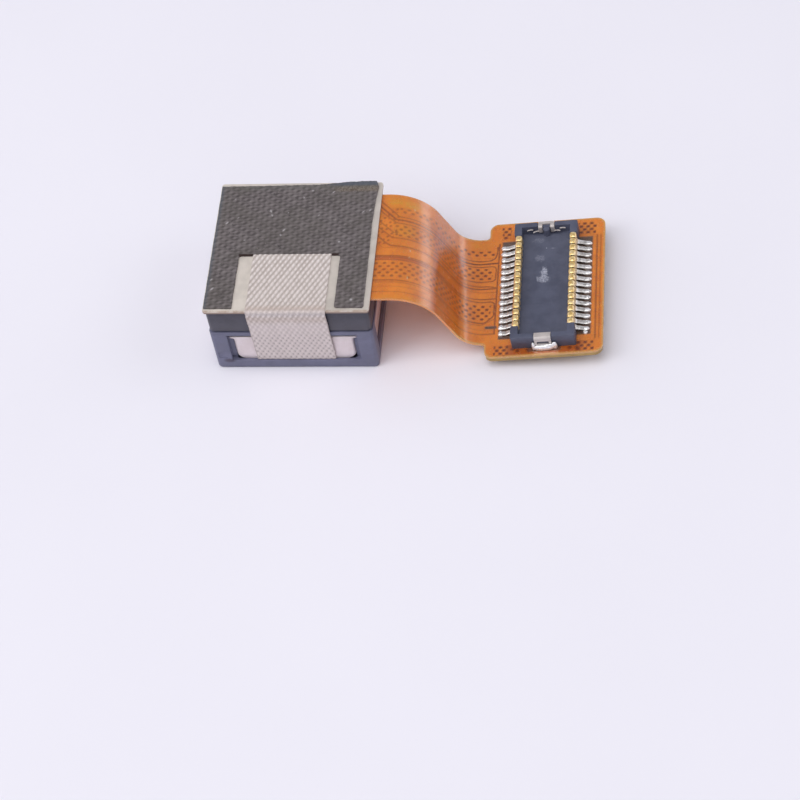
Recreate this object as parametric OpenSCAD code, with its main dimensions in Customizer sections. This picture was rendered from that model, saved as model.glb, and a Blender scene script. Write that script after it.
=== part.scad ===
// Phone camera module with a flexible circuit tail.
// The module lies lens side down. The origin is on the optical axis, in the plane of the
// lens-side face. +X points along the tail to the connector, +Z from the lens to the sensor.

/* [Lens-side housing] */
// Width of the housing, along the tail
housing_w = 8.44; // [8.40:0.01:8.46]
// Depth of the housing, across the tail
housing_d = 8.30; // [8.26:0.01:8.36]
// Height of the housing
housing_h = 2.93; // [2.93:0.01:3.05]
// Thickness of the wall around the lens opening
front_wall = 0.30; // [0.24:0.01:0.30]
// Radius of the lens opening
lens_hole_r = 2.85; // [2.75:0.01:2.95]
// Height of the window sills
sill_z = 0.62; // [0.5:0.01:0.8]
// Height of the windows' upper edge
window_top = 2.67; // [2.54:0.01:2.67]
// Half the width of a window, which leaves a square post at each corner
window_half = 3.36; // [3.34:0.01:3.42]

/* [Yoke can] */
// Width of the can between its faces, along the tail
can_w = 8.06; // [8.04:0.01:8.08]
// Depth of the can between its faces, across the tail
can_d = 7.96; // [7.94:0.01:7.98]
// Height of the can
can_h = 2.06; // [2.05:0.01:2.12]
// Sheet thickness of the can
can_sheet = 0.12; // [0.1:0.01:0.13]
// Half the width of each face of the can, between its notched corners
lobe_half = 3.10; // [3.05:0.01:3.15]
// Radius of the can's outer corners
can_corner = 0.16; // [0.16:0.01:0.4]

/* [Focus drive] */
// Travel of the lens towards the scene
focus_travel = 0.30; // [0.1:0.01:0.3]
// Height of the front spacer, which leaves room for the travel
spacer_h = 0.38; // [0.37:0.01:0.4]
// Thickness of a leaf spring
spring_t = 0.04; // [0.03:0.01:0.05]
// Length of a magnet
magnet_len = 4.60; // [3.5:0.1:5.0]
// Thickness of a magnet
magnet_t = 0.50; // [0.4:0.01:0.52]
// Height of a magnet
magnet_h = 1.34; // [1.2:0.01:1.4]
// Half the width of the coil, outside
coil_half = 3.22; // [3.18:0.01:3.24]
// Thickness of the coil's winding
coil_t = 0.24; // [0.15:0.01:0.26]
// Height of the coil
coil_h = 0.98; // [0.9:0.01:1.0]
// Radius of the carrier's bore for the barrel
carrier_bore_r = 2.62; // [2.61:0.005:2.65]

/* [Lens barrel] */
// Outer radius of the barrel
barrel_r = 2.60; // [2.55:0.01:2.60]
// Height of the barrel's front face above the lens-side face, at rest
barrel_z = 0.36; // [0.34:0.01:0.40]
// Length of the barrel
barrel_len = 2.42; // [2.38:0.01:2.45]
// Radius of the front aperture
aperture_r = 1.00; // [0.9:0.01:1.1]

/* [Sensor end] */
// Width of the sensor base, along the tail
base_w = 8.36; // [8.3:0.01:8.4]
// Depth of the sensor base, across the tail
base_d = 8.24; // [8.2:0.01:8.26]
// Height of the sensor base
base_h = 1.55; // [1.5:0.01:1.7]
// Width and depth of the image sensor
sensor_size = [5.2, 4.6];
// Thickness of the image sensor
sensor_t = 0.22; // [0.15:0.01:0.3]
// Width and depth of the infrared filter
filter_size = [5.8, 5.2];
// Thickness of the infrared filter
filter_t = 0.30; // [0.2:0.01:0.3]
// Side of the square stiffener plate on the rear
plate_w = 8.50; // [8.46:0.01:8.6]
// Thickness of the stiffener plate
plate_t = 0.16; // [0.12:0.01:0.2]
// Thickness of the woven tapes
tape_t = 0.09; // [0.06:0.01:0.1]
// Width of the ground strap
strap_w = 4.04; // [3.5:0.01:4.4]

/* [Flexible circuit] */
// Thickness of the film
film_t = 0.12; // [0.08:0.01:0.13]
// Width of the tail
tail_w = 6.88; // [6.4:0.01:7.2]
// Sideways offset of the tail's middle from the optical axis
tail_y = 0.10; // [-0.2:0.01:0.2]
// Where the first bend starts
bend_x = 4.90; // [4.6:0.01:5.2]
// Radius of the first bend, at the film's upper side
bend_r = 2.65; // [2.4:0.01:2.8]
// Angle that the film falls through
fall_deg = 64; // [60:0.5:66]
// Straight length between the bends
fall_run = 1.66; // [1.5:0.01:1.8]
// Radius of the second bend, at the film's upper side
rise_r = 1.40; // [1.2:0.01:1.5]
// Tilt of the connector end
pad_tilt = 4; // [2:0.5:5]
// Angle of the fold lines from straight across
skew_deg = 4.7; // [3:0.1:6]
// Angle of the connector end in plan
pad_turn = 1.2; // [0:0.1:3]
// Length and width of the connector end
pad_size = [6.05, 8.76];
// Corner radius of the connector end
pad_corner = 0.45; // [0.3:0.01:0.6]
// Thickness of the stiffener under the connector end
pad_stiffener_t = 0.20; // [0.15:0.01:0.25]

/* [Connector] */
// Contacts in each row
contacts = 15; // [10:1:15]
// Contact pitch
pitch = 0.40;
// Width of the connector's plastic, over its end blocks
plug_w = 3.28; // [3.2:0.01:3.4]
// Length of the connector's plastic
plug_len = 7.54; // [7.5:0.01:7.6]
// Height of the connector above the film
plug_h = 0.85; // [0.8:0.01:0.95]
// Depth of the connector's cavity
cavity_depth = 0.55; // [0.4:0.01:0.6]
// Reach of the soldered tails from the connector's middle
tail_reach = 2.36; // [2.32:0.01:2.4]

/* [Hidden] */
$fn = 48;
eps = 0.2;                                   // how far a cutter runs past a face

// Heights of the stack, from the lens-side face
can_top = front_wall + can_h;
base_z = housing_h;
film_z = base_z + base_h;                    // underside of the film's head
film_top = film_z + film_t;
plate_z = film_top;
tape_z = plate_z + plate_t;
cavity_z = base_z + 0.42;                    // shelf that the filter sits in
filter_z = cavity_z - 0.10;
spring_z = front_wall + can_sheet + spacer_h; // front leaf spring
carrier_z = spring_z + spring_t;
carrier_top = can_top - spring_t;            // the rear leaf spring lies between it and the base
carrier_h = carrier_top - carrier_z;
coil_z = carrier_z + 0.32;                     // clear of the front spring at the end of the travel

// Plan sizes inside the can
can_in_w = can_w - 2 * can_sheet;
can_in_d = can_d - 2 * can_sheet;
lobe_in = lobe_half - can_sheet;
gap = 0.02;                                  // fitting gap between neighbours
post_step = 0.12;                            // how far the posts' inner faces lie behind the can's
inner_ring_r = [carrier_bore_r + 0.06, 2.94];  // of both leaf springs
arm_r = [3.08, 3.16];
frame_half = coil_half + 0.10;               // opening of the springs' frames and the spacer
strap_start = 0.58;                          // the strap's bonded end, in front of the axis
terminal_x = 1.6;
terminal_w = 0.5;
terminal_sheet = 0.10;
terminal_z = window_top + 0.15;              // where the terminals cross the housing's rim
terminal_y = base_d / 2 - 0.12;              // inner side of their outer legs
terminal_foot_y = 3.50;

// Barrel and lenses: [flange front, flange back, front vertex, back vertex, clear radius, edge]
lens_seat = barrel_z + 0.36;
shield_t = 0.04;
lens_stack = [
    [0.00, 0.20, -0.22, 0.28, 0.95, 1.70],
    [0.24, 0.48, 0.33, 0.43, 0.90, 1.85],
    [0.52, 0.88, 0.58, 1.08, 1.25, 2.00],
    [1.20, 1.58, 1.16, 1.66, 1.70, 2.15]
];
retainer_h = 0.32;

// The film's profile, in the plane across its fold lines: [along, height] of its upper side
bend_top = film_top;
fall_start = [bend_x + bend_r * sin(fall_deg), bend_top - bend_r * (1 - cos(fall_deg))];
fall_end = fall_start + fall_run * [cos(fall_deg), -sin(fall_deg)];
rise_mid = fall_end + rise_r * [sin(fall_deg), cos(fall_deg)];
rise_end = rise_mid + rise_r * [sin(pad_tilt), -cos(pad_tilt)];
pad_run = 8;                                 // past the end of the connector end
bend_steps = 18;
pad_end = rise_end + pad_run * [cos(pad_tilt), sin(pad_tilt)];

// Middle of the connector end in plan, and the connector's offset from it
pad_at = [12.59, 0.22];
plug_at = [0.05, -0.145];
pad_along = pad_at[0] * cos(skew_deg) + pad_at[1] * sin(skew_deg);
pad_z = rise_end[1] + (pad_along - rise_end[0]) * tan(pad_tilt);
row_half = (contacts - 1) / 2 * pitch;
wall_out = 1.50;                             // outside of the connector's long walls
wall_in = 1.26;
clip_w = 0.86;
clip_t = 0.07;
clip_foot = 0.10;
boss_r = 0.17;

// ---- Shared shapes ----

// A rectangle with round corners, about the origin
module round_rect(w, d, r) {
    square([w - 2 * r, d], center = true);
    square([w, d - 2 * r], center = true);
    for (x = [-1, 1], y = [-1, 1]) {
        translate([x * (w / 2 - r), y * (d / 2 - r)]) circle(r);
    }
}

// A square with a notch at each corner, as the can and all that fits in it has
module notched(w, d, half, r) {
    round_rect(2 * half, d, r);
    round_rect(w, 2 * half, r);
}

module slab(z, h) {
    translate([0, 0, z]) linear_extrude(h) children();
}

module tube(z, h, outer, inner) {
    difference() {
        translate([0, 0, z]) cylinder(h = h, r = outer);
        translate([0, 0, z - eps]) cylinder(h = h + 2 * eps, r = inner);
    }
}

// A strip of ring between two radii, from angle a to angle b, less than half a turn
module ring_strip(radii, a, b) {
    reach = 2 * radii[1];
    intersection() {
        difference() {
            circle(radii[1]);
            circle(radii[0]);
        }
        polygon([[0, 0], reach * [cos(a), sin(a)], reach * [cos((a + b) / 2), sin((a + b) / 2)],
            reach * [cos(b), sin(b)]]);
    }
}

// The band of thickness t around a line of points, as one outline
function turned(v) = [-v[1], v[0]] / norm(v);
function normal_at(p, i) = turned(p[min(i + 1, len(p) - 1)] - p[max(i - 1, 0)]);
function band(p, t) = concat(
    [for (i = [0 : len(p) - 1]) p[i] + normal_at(p, i) * t / 2],
    [for (i = [len(p) - 1 : -1 : 0]) p[i] - normal_at(p, i) * t / 2]);

// Extrudes an outline drawn in the XZ plane, centred on y
module across(width) {
    rotate([90, 0, 0]) linear_extrude(width, center = true) children();
}

// ---- Rear plate, tapes and film ----

// Dark woven tape on the plate, cut away where the ground strap is bonded
module rear_tape() {
    edge = plate_w / 2;
    half = strap_w / 2 + gap;
    color([0.34, 0.32, 0.33]) slab(tape_z, tape_t) polygon([
        [-edge + 0.14, -edge + 0.22], [-2.76, -edge + 0.22], [-2.76, -0.65], [-half, -0.65],
        [-half, gap - strap_start], [half, gap - strap_start], [half, -0.65], [2.48, -0.65],
        [2.48, -edge + 0.30], [2.60, -edge + 0.24], [edge - 0.36, -edge + 0.24],
        [edge - 0.27, -edge + 0.32], [edge - 0.31, -0.6], [edge - 0.34, 1.4], [edge - 0.28, 3.1],
        [edge - 0.14, 3.9], [edge - 0.34, edge + 0.02], [1.24, edge + 0.02], [1.18, edge - 0.22],
        [-edge + 0.16, edge - 0.24]
    ]);
}

// Silver woven strap, bonded to the plate and folded down over the front window
module ground_strap() {
    face = housing_d / 2 + gap + tape_t / 2;
    can_face = can_d / 2 + gap + tape_t / 2;
    plate_edge = plate_w / 2 + 2 * gap + tape_t / 2;
    top = tape_z + tape_t / 2;
    path = [
        [strap_start, top], [plate_edge - 0.13, top], [plate_edge - 0.05, top - 0.03], [plate_edge, top - 0.10],
        [plate_edge, plate_z - 0.02], [face + 0.02, base_z + 0.5], [face, base_z], [face, window_top],
        [can_face, window_top - 0.26], [can_face, sill_z + 0.02]
    ];
    color([0.80, 0.77, 0.75]) rotate([0, 0, -90]) across(strap_w) polygon(band(path, tape_t));
}

// Pale plate that stiffens the film behind the sensor
module rear_stiffener() {
    color([0.84, 0.82, 0.77]) slab(plate_z, plate_t) round_rect(plate_w, plate_w, 0.16);
}

// Outline of the connector end in plan, with its middle at the origin
module pad_outline() {
    round_rect(pad_size[0], pad_size[1], pad_corner);
}

// Plan of the film: head, tail and connector end, with a small fillet at each inner corner
module film_plan() {
    neck_r = 0.18;
    pad_left = pad_at[0] - pad_size[0] / 2;
    translate([-0.02, 0]) round_rect(8.2, 8.1, 0.25);
    translate([3, tail_y - tail_w / 2]) square([pad_at[0] - 5, tail_w]);
    for (side = [-1, 1]) {
        y = tail_y + side * tail_w / 2;
        x = pad_left - (y - pad_at[1]) * tan(pad_turn);
        difference() {
            translate([x - neck_r, y - neck_r]) square([neck_r + 0.1, 2 * neck_r]);
            translate([x - neck_r, y + side * neck_r]) circle(neck_r);
        }
    }
    translate(pad_at) rotate(pad_turn) pad_outline();
}

// The film's profile at a depth below its upper side, from the head to past the connector end
function film_line(depth) = concat(
    [[-6, bend_top - depth]],
    [for (i = [0 : bend_steps]) let (a = fall_deg * i / bend_steps)
        [bend_x + (bend_r - depth) * sin(a), bend_top - bend_r + (bend_r - depth) * cos(a)]],
    [for (i = [0 : bend_steps]) let (a = fall_deg - (fall_deg + pad_tilt) * i / bend_steps)
        rise_mid - (rise_r + depth) * [sin(a), cos(a)]],
    [pad_end + depth * [sin(pad_tilt), -cos(pad_tilt)]]);

// One film: flat head under the plate, a falling S-bend, and the connector end
module flex_circuit() {
    over = film_line(0);
    under = film_line(film_t);
    color([0.80, 0.48, 0.24]) intersection() {
        rotate([0, 0, skew_deg]) across(30) {
            polygon(concat(over, [for (i = [len(under) - 1 : -1 : 0]) under[i]]));
        }
        linear_extrude(film_top + 1) film_plan();
    }
}

// Stiffener bonded under the connector end
module pad_stiffener() {
    drop = [sin(pad_tilt), -cos(pad_tilt)];
    color([0.74, 0.58, 0.30]) intersection() {
        rotate([0, 0, skew_deg]) across(30) {
            polygon([rise_end + film_t * drop, pad_end + film_t * drop,
                pad_end + (film_t + pad_stiffener_t) * drop,
                rise_end + (film_t + pad_stiffener_t) * drop]);
        }
        linear_extrude(film_top) translate(pad_at) rotate(pad_turn) pad_outline();
    }
}

// ---- Sensor end ----

module image_sensor() {
    size = [sensor_size[0], sensor_size[1], sensor_t];
    color([0.22, 0.24, 0.30]) translate([-size[0] / 2, -size[1] / 2, film_z - sensor_t]) cube(size);
}

// Bond wires from the sensor's two short edges to the film
module bond_wires() {
    wire = 0.03;
    die = sensor_size[0] / 2;
    face = film_z - sensor_t - wire / 2;
    loop = [[die - 0.14, face], [die - 0.08, face - 0.10], [die + 0.08, face - 0.10],
        [die + 0.32, film_z - wire / 2]];
    color([0.90, 0.72, 0.35]) for (side = [0, 180], i = [-6.5 : 1 : 6.5]) {
        rotate([0, 0, side]) translate([0, i * 0.30, 0]) across(wire) polygon(band(loop, wire));
    }
}

// Four chip capacitors with raised metal ends, on the film beside the sensor
module chip_capacitors() {
    color([0.62, 0.50, 0.38]) for (place = [[-1.8, -2.86], [-0.9, -2.86], [1.1, 2.86], [2.0, 2.86]]) {
        translate([place[0], place[1], film_z]) mirror([0, 0, 1]) {
            translate([-0.28, -0.14, 0]) cube([0.56, 0.28, 0.28]);
            for (x = [-0.30, 0.16]) translate([x, -0.15, 0]) cube([0.14, 0.30, 0.30]);
        }
    }
}

module driver_chip() {
    color([0.15, 0.15, 0.17]) translate([-1.4, 2.44, film_z - 0.30]) cube([1.3, 0.82, 0.30]);
}

// Dark plastic base that holds the filter and carries the film's head
module sensor_base() {
    shelf = [filter_size[0] + 0.1, filter_size[1] + 0.1];
    color([0.30, 0.30, 0.36]) difference() {
        union() {
            slab(base_z, base_h) round_rect(base_w - 0.12, base_d - 0.12, 0.22);
            slab(base_z + 0.10, base_h - 0.10) round_rect(base_w, base_d, 0.25);
        }
        slab(base_z - eps, base_h) square([4.8, 4.0], center = true);
        slab(filter_z, base_h) square(shelf, center = true);
        slab(cavity_z, base_h) round_rect(6.9, 6.8, 0.3);
        for (x = [-1, 1]) {
            translate([x * terminal_x - terminal_w / 2 - gap, terminal_y - gap, base_z - eps]) {
                cube([terminal_w + 2 * gap, 1, base_h + 2 * eps]);
            }
        }
    }
}

module infrared_filter() {
    color([0.62, 0.80, 0.85, 0.5]) slab(filter_z, filter_t) square(filter_size, center = true);
}

// ---- Focus drive ----

// Plastic base of the drive, with the stop for the lens carrier and grooves for the terminals
module actuator_base() {
    groove_w = terminal_w + 2 * gap;
    color([0.16, 0.16, 0.18]) difference() {
        slab(can_top, base_z - can_top) {
            notched(can_w - 0.12, can_d - 0.12, window_half - 2 * gap, 0.15);
        }
        translate([0, 0, can_top - eps]) cylinder(h = 2, r = 2.75);
        for (x = [-1, 1]) translate([x * terminal_x - groove_w / 2, 0, 0]) {
            translate([0, terminal_foot_y - gap, can_top - eps]) cube([groove_w, 0.24, 1]);
            translate([0, terminal_foot_y - gap, terminal_z - gap]) cube([groove_w, 1, 1]);
        }
    }
}

// Two bent terminals, from the rear spring out over the housing's rim and up to the film
module coil_terminals() {
    foot = 0.20;
    color([0.78, 0.70, 0.50]) for (x = [-1, 1]) translate([x * terminal_x - terminal_w / 2, 0, 0]) {
        translate([0, terminal_foot_y, can_top]) cube([terminal_w, foot, terminal_sheet]);
        translate([0, terminal_foot_y + foot - terminal_sheet, can_top]) {
            cube([terminal_w, terminal_sheet, terminal_z + terminal_sheet - can_top]);
        }
        translate([0, terminal_foot_y + foot - terminal_sheet, terminal_z]) {
            cube([terminal_w, terminal_y + 2 * terminal_sheet - terminal_foot_y - foot, terminal_sheet]);
        }
        translate([0, terminal_y, terminal_z]) cube([terminal_w, terminal_sheet, film_z - terminal_z]);
    }
}

// Solder that joins the terminals to the film's edge
module terminal_solder() {
    y = base_d / 2 - 0.02;
    color([0.80, 0.80, 0.80]) for (x = [-1, 1]) {
        translate([x * terminal_x, 0, 0]) rotate([0, 0, -90]) across(0.44) {
            polygon([[-y, film_z - 0.30], [-y - 0.06, film_z - 0.22], [-y - 0.08, film_z - 0.10],
                [-y - 0.06, film_z], [-y, film_z]]);
        }
    }
}

// Plan of a leaf spring: outer frame, inner ring, and four arms between them
module spring_plan() {
    difference() {
        notched(can_in_w - 2 * gap, can_in_d - 2 * gap, lobe_in - gap, 0.2);
        coil_plan(frame_half);
    }
    difference() {
        circle(inner_ring_r[1]);
        circle(inner_ring_r[0]);
    }
    // Arms, joined to the ring at one end and to the frame at the other
    link_w = 0.22;
    for (turn = [0 : 90 : 270]) {
        ring_strip(arm_r, turn + 14, turn + 76);
        rotate(turn + 14) translate([inner_ring_r[1] - 0.08, -link_w / 2]) {
            square([arm_r[0] + 0.14 - inner_ring_r[1], link_w]);
        }
        rotate(turn + 76) translate([arm_r[0] + 0.02, -link_w / 2]) {
            square([frame_half + 0.14 - arm_r[0], link_w]);
        }
    }
}

// Rear spring: two halves that carry the coil's current
module rear_leaf_spring() {
    color([0.85, 0.75, 0.50]) slab(carrier_top, spring_t) difference() {
        spring_plan();
        square([0.24, 9], center = true);
    }
}

module front_leaf_spring() {
    color([0.85, 0.75, 0.50]) slab(spring_z, spring_t) spring_plan();
}

module spring_spacer() {
    color([0.14, 0.14, 0.15]) slab(front_wall + can_sheet, spacer_h) difference() {
        notched(can_in_w - 2 * gap, can_in_d - 2 * gap, lobe_in - gap, 0.2);
        coil_plan(frame_half);
    }
}

// One of four bar magnets, flat against a face of the can: 0 right, 1 back, 2 left, 3 front
module magnet(side) {
    inside = (side % 2 == 0 ? can_in_w : can_in_d) / 2;
    color([0.55, 0.55, 0.57]) rotate([0, 0, side * 90]) {
        translate([inside - magnet_t, -magnet_len / 2, carrier_z]) cube([magnet_t, magnet_len, magnet_h]);
    }
}

// Drawn can that closes the magnets' field, with notched corners and a flange at its open end
module yoke_can() {
    color([0.82, 0.80, 0.80]) difference() {
        union() {
            slab(front_wall, can_h) notched(can_w, can_d, lobe_half, can_corner);
            slab(can_top - can_sheet, can_sheet) notched(can_w, can_d, window_half - 2 * gap, 0.12);
        }
        slab(front_wall + can_sheet, can_h) {
            notched(can_in_w, can_in_d, lobe_in, can_corner - can_sheet);
        }
        translate([0, 0, front_wall - eps]) cylinder(h = can_h, r = lens_hole_r + 0.05);
    }
}

// Plan of what is wound or moulded around the barrel: a square with very round corners
module coil_plan(half) {
    round_rect(2 * half, 2 * half, half - 1.92);
}

module voice_coil() {
    color([0.72, 0.36, 0.18]) slab(coil_z, coil_h) difference() {
        coil_plan(coil_half);
        coil_plan(coil_half - coil_t);
    }
}

// Bobbin that holds the barrel: two flanges with the coil between them
module lens_carrier() {
    color([0.13, 0.13, 0.14]) difference() {
        union() {
            slab(carrier_z, carrier_h) coil_plan(coil_half - coil_t);
            slab(carrier_z, coil_z - carrier_z) coil_plan(coil_half + 0.04);
            slab(coil_z + coil_h, carrier_top - coil_z - coil_h) coil_plan(coil_half + 0.04);
        }
        translate([0, 0, carrier_z - eps]) cylinder(h = carrier_h + 2 * eps, r = carrier_bore_r);
    }
}

// ---- Lens barrel and what it holds ----

// Barrel with a conical front aperture and a step in its bore for each lens
module lens_barrel() {
    color([0.08, 0.08, 0.09]) difference() {
        union() {
            translate([0, 0, barrel_z + 0.10]) cylinder(h = barrel_len - 0.10, r = barrel_r);
            translate([0, 0, barrel_z]) cylinder(h = 0.10, r1 = barrel_r - 0.10, r2 = barrel_r);
        }
        translate([0, 0, barrel_z - 0.001]) {
            cylinder(h = lens_seat - barrel_z + 0.002, r1 = aperture_r + 0.75, r2 = aperture_r);
        }
        for (i = [0 : 3]) {
            start = lens_seat + (i == 0 ? 0 : i == 3 ? lens_stack[2][1] : lens_stack[i][0] - shield_t);
            translate([0, 0, start]) cylinder(h = 3, r = lens_stack[i][5] + gap / 2);
        }
    }
}

// A moulded lens: curved inside its clear radius, with a flat flange around it
module lens(i) {
    l = lens_stack[i];
    steps = 10;
    front = [for (k = [0 : steps]) [l[4] * k / steps, l[2] + (l[0] - l[2]) * pow(k / steps, 2)]];
    back = [for (k = [steps : -1 : 0]) [l[4] * k / steps, l[3] + (l[1] - l[3]) * pow(k / steps, 2)]];
    color([0.75, 0.85, 0.90, 0.5]) translate([0, 0, lens_seat]) rotate_extrude() {
        polygon(concat(front, [[l[5], l[0]], [l[5], l[1]]], back));
    }
}

module light_shield_front() {
    color([0.05, 0.05, 0.05]) tube(lens_seat + lens_stack[0][1], shield_t, lens_stack[0][5], lens_stack[0][4]);
}

module light_shield_rear() {
    color([0.05, 0.05, 0.05]) tube(lens_seat + lens_stack[1][1], shield_t, lens_stack[1][5], 1.05);
}

module lens_spacer() {
    z = lens_stack[2][1];
    color([0.10, 0.10, 0.10]) tube(lens_seat + z, lens_stack[3][0] - z, lens_stack[2][5], lens_stack[3][4]);
}

module retainer_ring() {
    color([0.10, 0.10, 0.11]) tube(lens_seat + lens_stack[3][1], retainer_h, lens_stack[3][5], 1.75);
}

// ---- Lens-side housing ----

// Plastic cage: a front wall with the lens opening, four corner posts and a window in each side
module front_housing() {
    edge = 0.12;
    color([0.36, 0.37, 0.45]) difference() {
        union() {
            slab(edge, housing_h - edge) round_rect(housing_w, housing_d, 0.22);
            slab(0, edge) round_rect(housing_w - edge, housing_d - edge, 0.20);
        }
        translate([0, 0, -eps]) cylinder(h = front_wall + 2 * eps, r = lens_hole_r);
        translate([0, 0, -0.001]) cylinder(h = 0.12, r1 = lens_hole_r + 0.12, r2 = lens_hole_r);
        slab(front_wall, housing_h) {
            notched(can_w + 2 * gap, can_d + 2 * gap, lobe_half + gap, can_corner);
        }
        slab(can_top - can_sheet - gap, housing_h) {
            notched(can_w + 2 * gap, can_d + 2 * gap, window_half, 0.10);
        }
        // The windows are as deep as the corner posts' inner faces, beside the can
        slab(sill_z, window_top - sill_z) difference() {
            union() {
                square([2 * window_half, housing_d + 1], center = true);
                square([housing_w + 1, 2 * window_half], center = true);
            }
            square([can_w - 2 * post_step, can_d - 2 * post_step], center = true);
        }
        // Shallow gate mark on a corner post
        translate([-housing_w / 2 + 0.20, -housing_d / 2 - 1 + 0.03, 0.82]) cube([0.42, 1, 0.48]);
        for (x = [-1, 1]) {
            translate([x * terminal_x - terminal_w / 2 - gap, can_d / 2 - 0.1, terminal_z - gap]) {
                cube([terminal_w + 2 * gap, 1, 1]);
            }
        }
    }
}

// ---- Connector ----

// Places its children on the connector end, with +Z square to the film's upper side
module on_pad() {
    translate([pad_at[0], pad_at[1], pad_z]) rotate([0, 0, skew_deg]) rotate([0, -pad_tilt, 0]) {
        rotate([0, 0, pad_turn - skew_deg]) translate([plug_at[0], plug_at[1], 0]) children();
    }
}

// Plastic of the plug: long walls that the contacts wrap over, end blocks, a cavity, and a round
// boss at the cavity's rear end
module connector_body() {
    block_len = plug_len / 2 - row_half - 0.16;
    floor_z = plug_h - cavity_depth;
    wall_top = plug_h - 0.08;
    wall_edge = 0.07;                        // step that eases the contacts over the wall
    seat_z = plug_h - 0.07;
    color([0.34, 0.36, 0.43]) on_pad() {
        difference() {
            union() {
                slab(0.04, wall_top - wall_edge - 0.04) {
                    square([2 * wall_out, plug_len - 0.04], center = true);
                }
                slab(0.04, wall_top - 0.04) {
                    square([2 * (wall_out - wall_edge), plug_len - 0.04], center = true);
                }
                for (y = [-1, 1]) translate([0, y * (plug_len - block_len) / 2, 0]) {
                    slab(0, plug_h) round_rect(plug_w, block_len, 0.08);
                }
            }
            slab(floor_z, plug_h) square([2 * wall_in, plug_len - 0.56], center = true);
            slab(wall_top - wall_edge, plug_h) {
                square([2 * (wall_in + wall_edge), 2 * row_half + 0.30], center = true);
            }
            // Seats for the hold-down clips, in both end walls
            for (y = [-1, 1]) translate([0, y * (plug_len / 2 - 0.14), 0]) {
                slab(seat_z, 1) square([clip_w + 0.06, 0.5], center = true);
            }
        }
        translate([0, plug_len / 2 - boss_r - 0.22, floor_z - 0.05]) {
            cylinder(h = seat_z - floor_z + 0.03, r = boss_r);
        }
    }
}

// One contact, drawn on the +X side: over the wall and out to a soldered tail
module contact() {
    t = 0.07;
    low = plug_h - 0.40;
    top = plug_h - 0.08 + t / 2 + 0.005;
    inside = wall_in - t / 2 - 0.005;
    outside = wall_out + t / 2 + 0.005;
    wrap = [
        [inside, low], [inside, top - 0.10], [inside + 0.04, top - 0.03], [inside + 0.12, top],
        [outside - 0.12, top], [outside - 0.04, top - 0.03], [outside, top - 0.10], [outside, 0.34],
        [outside + 0.05, 0.24], [outside + 0.14, 0.19], [1.86, 0.14], [2.02, t / 2 + 0.03],
        [tail_reach, t / 2 + 0.03]
    ];
    across(0.24) polygon(band(wrap, t));
}

module contact_row() {
    for (i = [0 : contacts - 1]) translate([0, i * pitch - row_half, 0]) contact();
}

module contacts_left() {
    color([0.86, 0.72, 0.42]) on_pad() mirror([1, 0, 0]) contact_row();
}

module contacts_right() {
    color([0.86, 0.72, 0.42]) on_pad() contact_row();
}

// Solder under and around each tail
module solder_row() {
    bead = [[1.98, 0], [tail_reach + 0.08, 0], [tail_reach + 0.06, 0.06], [tail_reach, 0.13],
        [2.24, 0.17], [2.10, 0.14], [2.02, 0.06]];
    difference() {
        for (i = [0 : contacts - 1]) translate([0, i * pitch - row_half, 0]) {
            across(0.30) polygon(bead);
        }
        contact_row();
    }
}

module solder_left() {
    color([0.85, 0.85, 0.85]) on_pad() mirror([1, 0, 0]) solder_row();
}

module solder_right() {
    color([0.85, 0.85, 0.85]) on_pad() solder_row();
}

// Hold-down clip, drawn on the -Y end: a tab over the end wall and a foot on the film. The rear
// clip's tab is slotted, so that it clears the boss in the cavity.
module clip(slotted = false) {
    inner = plug_len / 2 - 0.28 - clip_t / 2 - 0.005;
    outer = plug_len / 2 + clip_t / 2 + 0.005;
    top = plug_h - 0.07 + clip_t / 2 + 0.005;
    foot = clip_t / 2 + 0.03;
    path = [[inner, plug_h - 0.42], [inner, top - 0.06], [inner + 0.06, top], [outer - 0.06, top],
        [outer, top - 0.06], [outer, foot + 0.06], [outer + 0.06, foot], [outer + clip_foot, foot]];
    rotate([0, 0, -90]) difference() {
        across(clip_w) polygon(band(path, clip_t));
        translate([inner - 0.5, -0.17, plug_h - 0.36]) cube([0.6, 0.34, 0.20]);
        translate([outer - 0.06, -0.30, foot + 0.28]) cube([0.6, 0.60, 0.20]);
        if (slotted) {
            translate([inner - 0.5, -0.20, plug_h - 0.6]) cube([outer - inner + 0.34, 0.40, 1]);
        }
    }
    // Arms that spread along the inner side of the end wall
    for (side = [-1, 1]) translate([side * 0.70 - 0.30, -inner - clip_t / 2, plug_h - 0.42]) {
        cube([0.60, clip_t, 0.12]);
    }
}

module front_clip() {
    color([0.78, 0.76, 0.74]) on_pad() clip();
}

module rear_clip() {
    color([0.78, 0.76, 0.74]) on_pad() rotate([0, 0, 180]) clip(slotted = true);
}

// Solder around the two clips' feet: a bar in front and a horn on each side
module clip_solder() {
    bar = [[-0.11, 0], [-0.10, 0.10], [-0.05, 0.20], [0.02, 0.27], [0.08, 0.28], [0.08, 0]];
    horn = [[-0.12, 0], [-0.13, 0.30], [-0.08, 0.40], [0.02, 0.38], [0.08, 0.24], [0.14, 0]];
    end = plug_len / 2 + clip_t + clip_foot;
    color([0.86, 0.86, 0.86]) on_pad() for (turn = [0, 180]) rotate([0, 0, turn]) difference() {
        union() {
            translate([0, -end, 0]) rotate([0, 0, 90]) across(clip_w + 0.10) polygon(bar);
            for (side = [-1, 1]) translate([side * (clip_w / 2 + 0.12), -end + 0.03, 0]) {
                rotate([0, 0, side > 0 ? 0 : 180]) across(0.24) polygon(horn);
            }
        }
        clip();
    }
}

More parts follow.
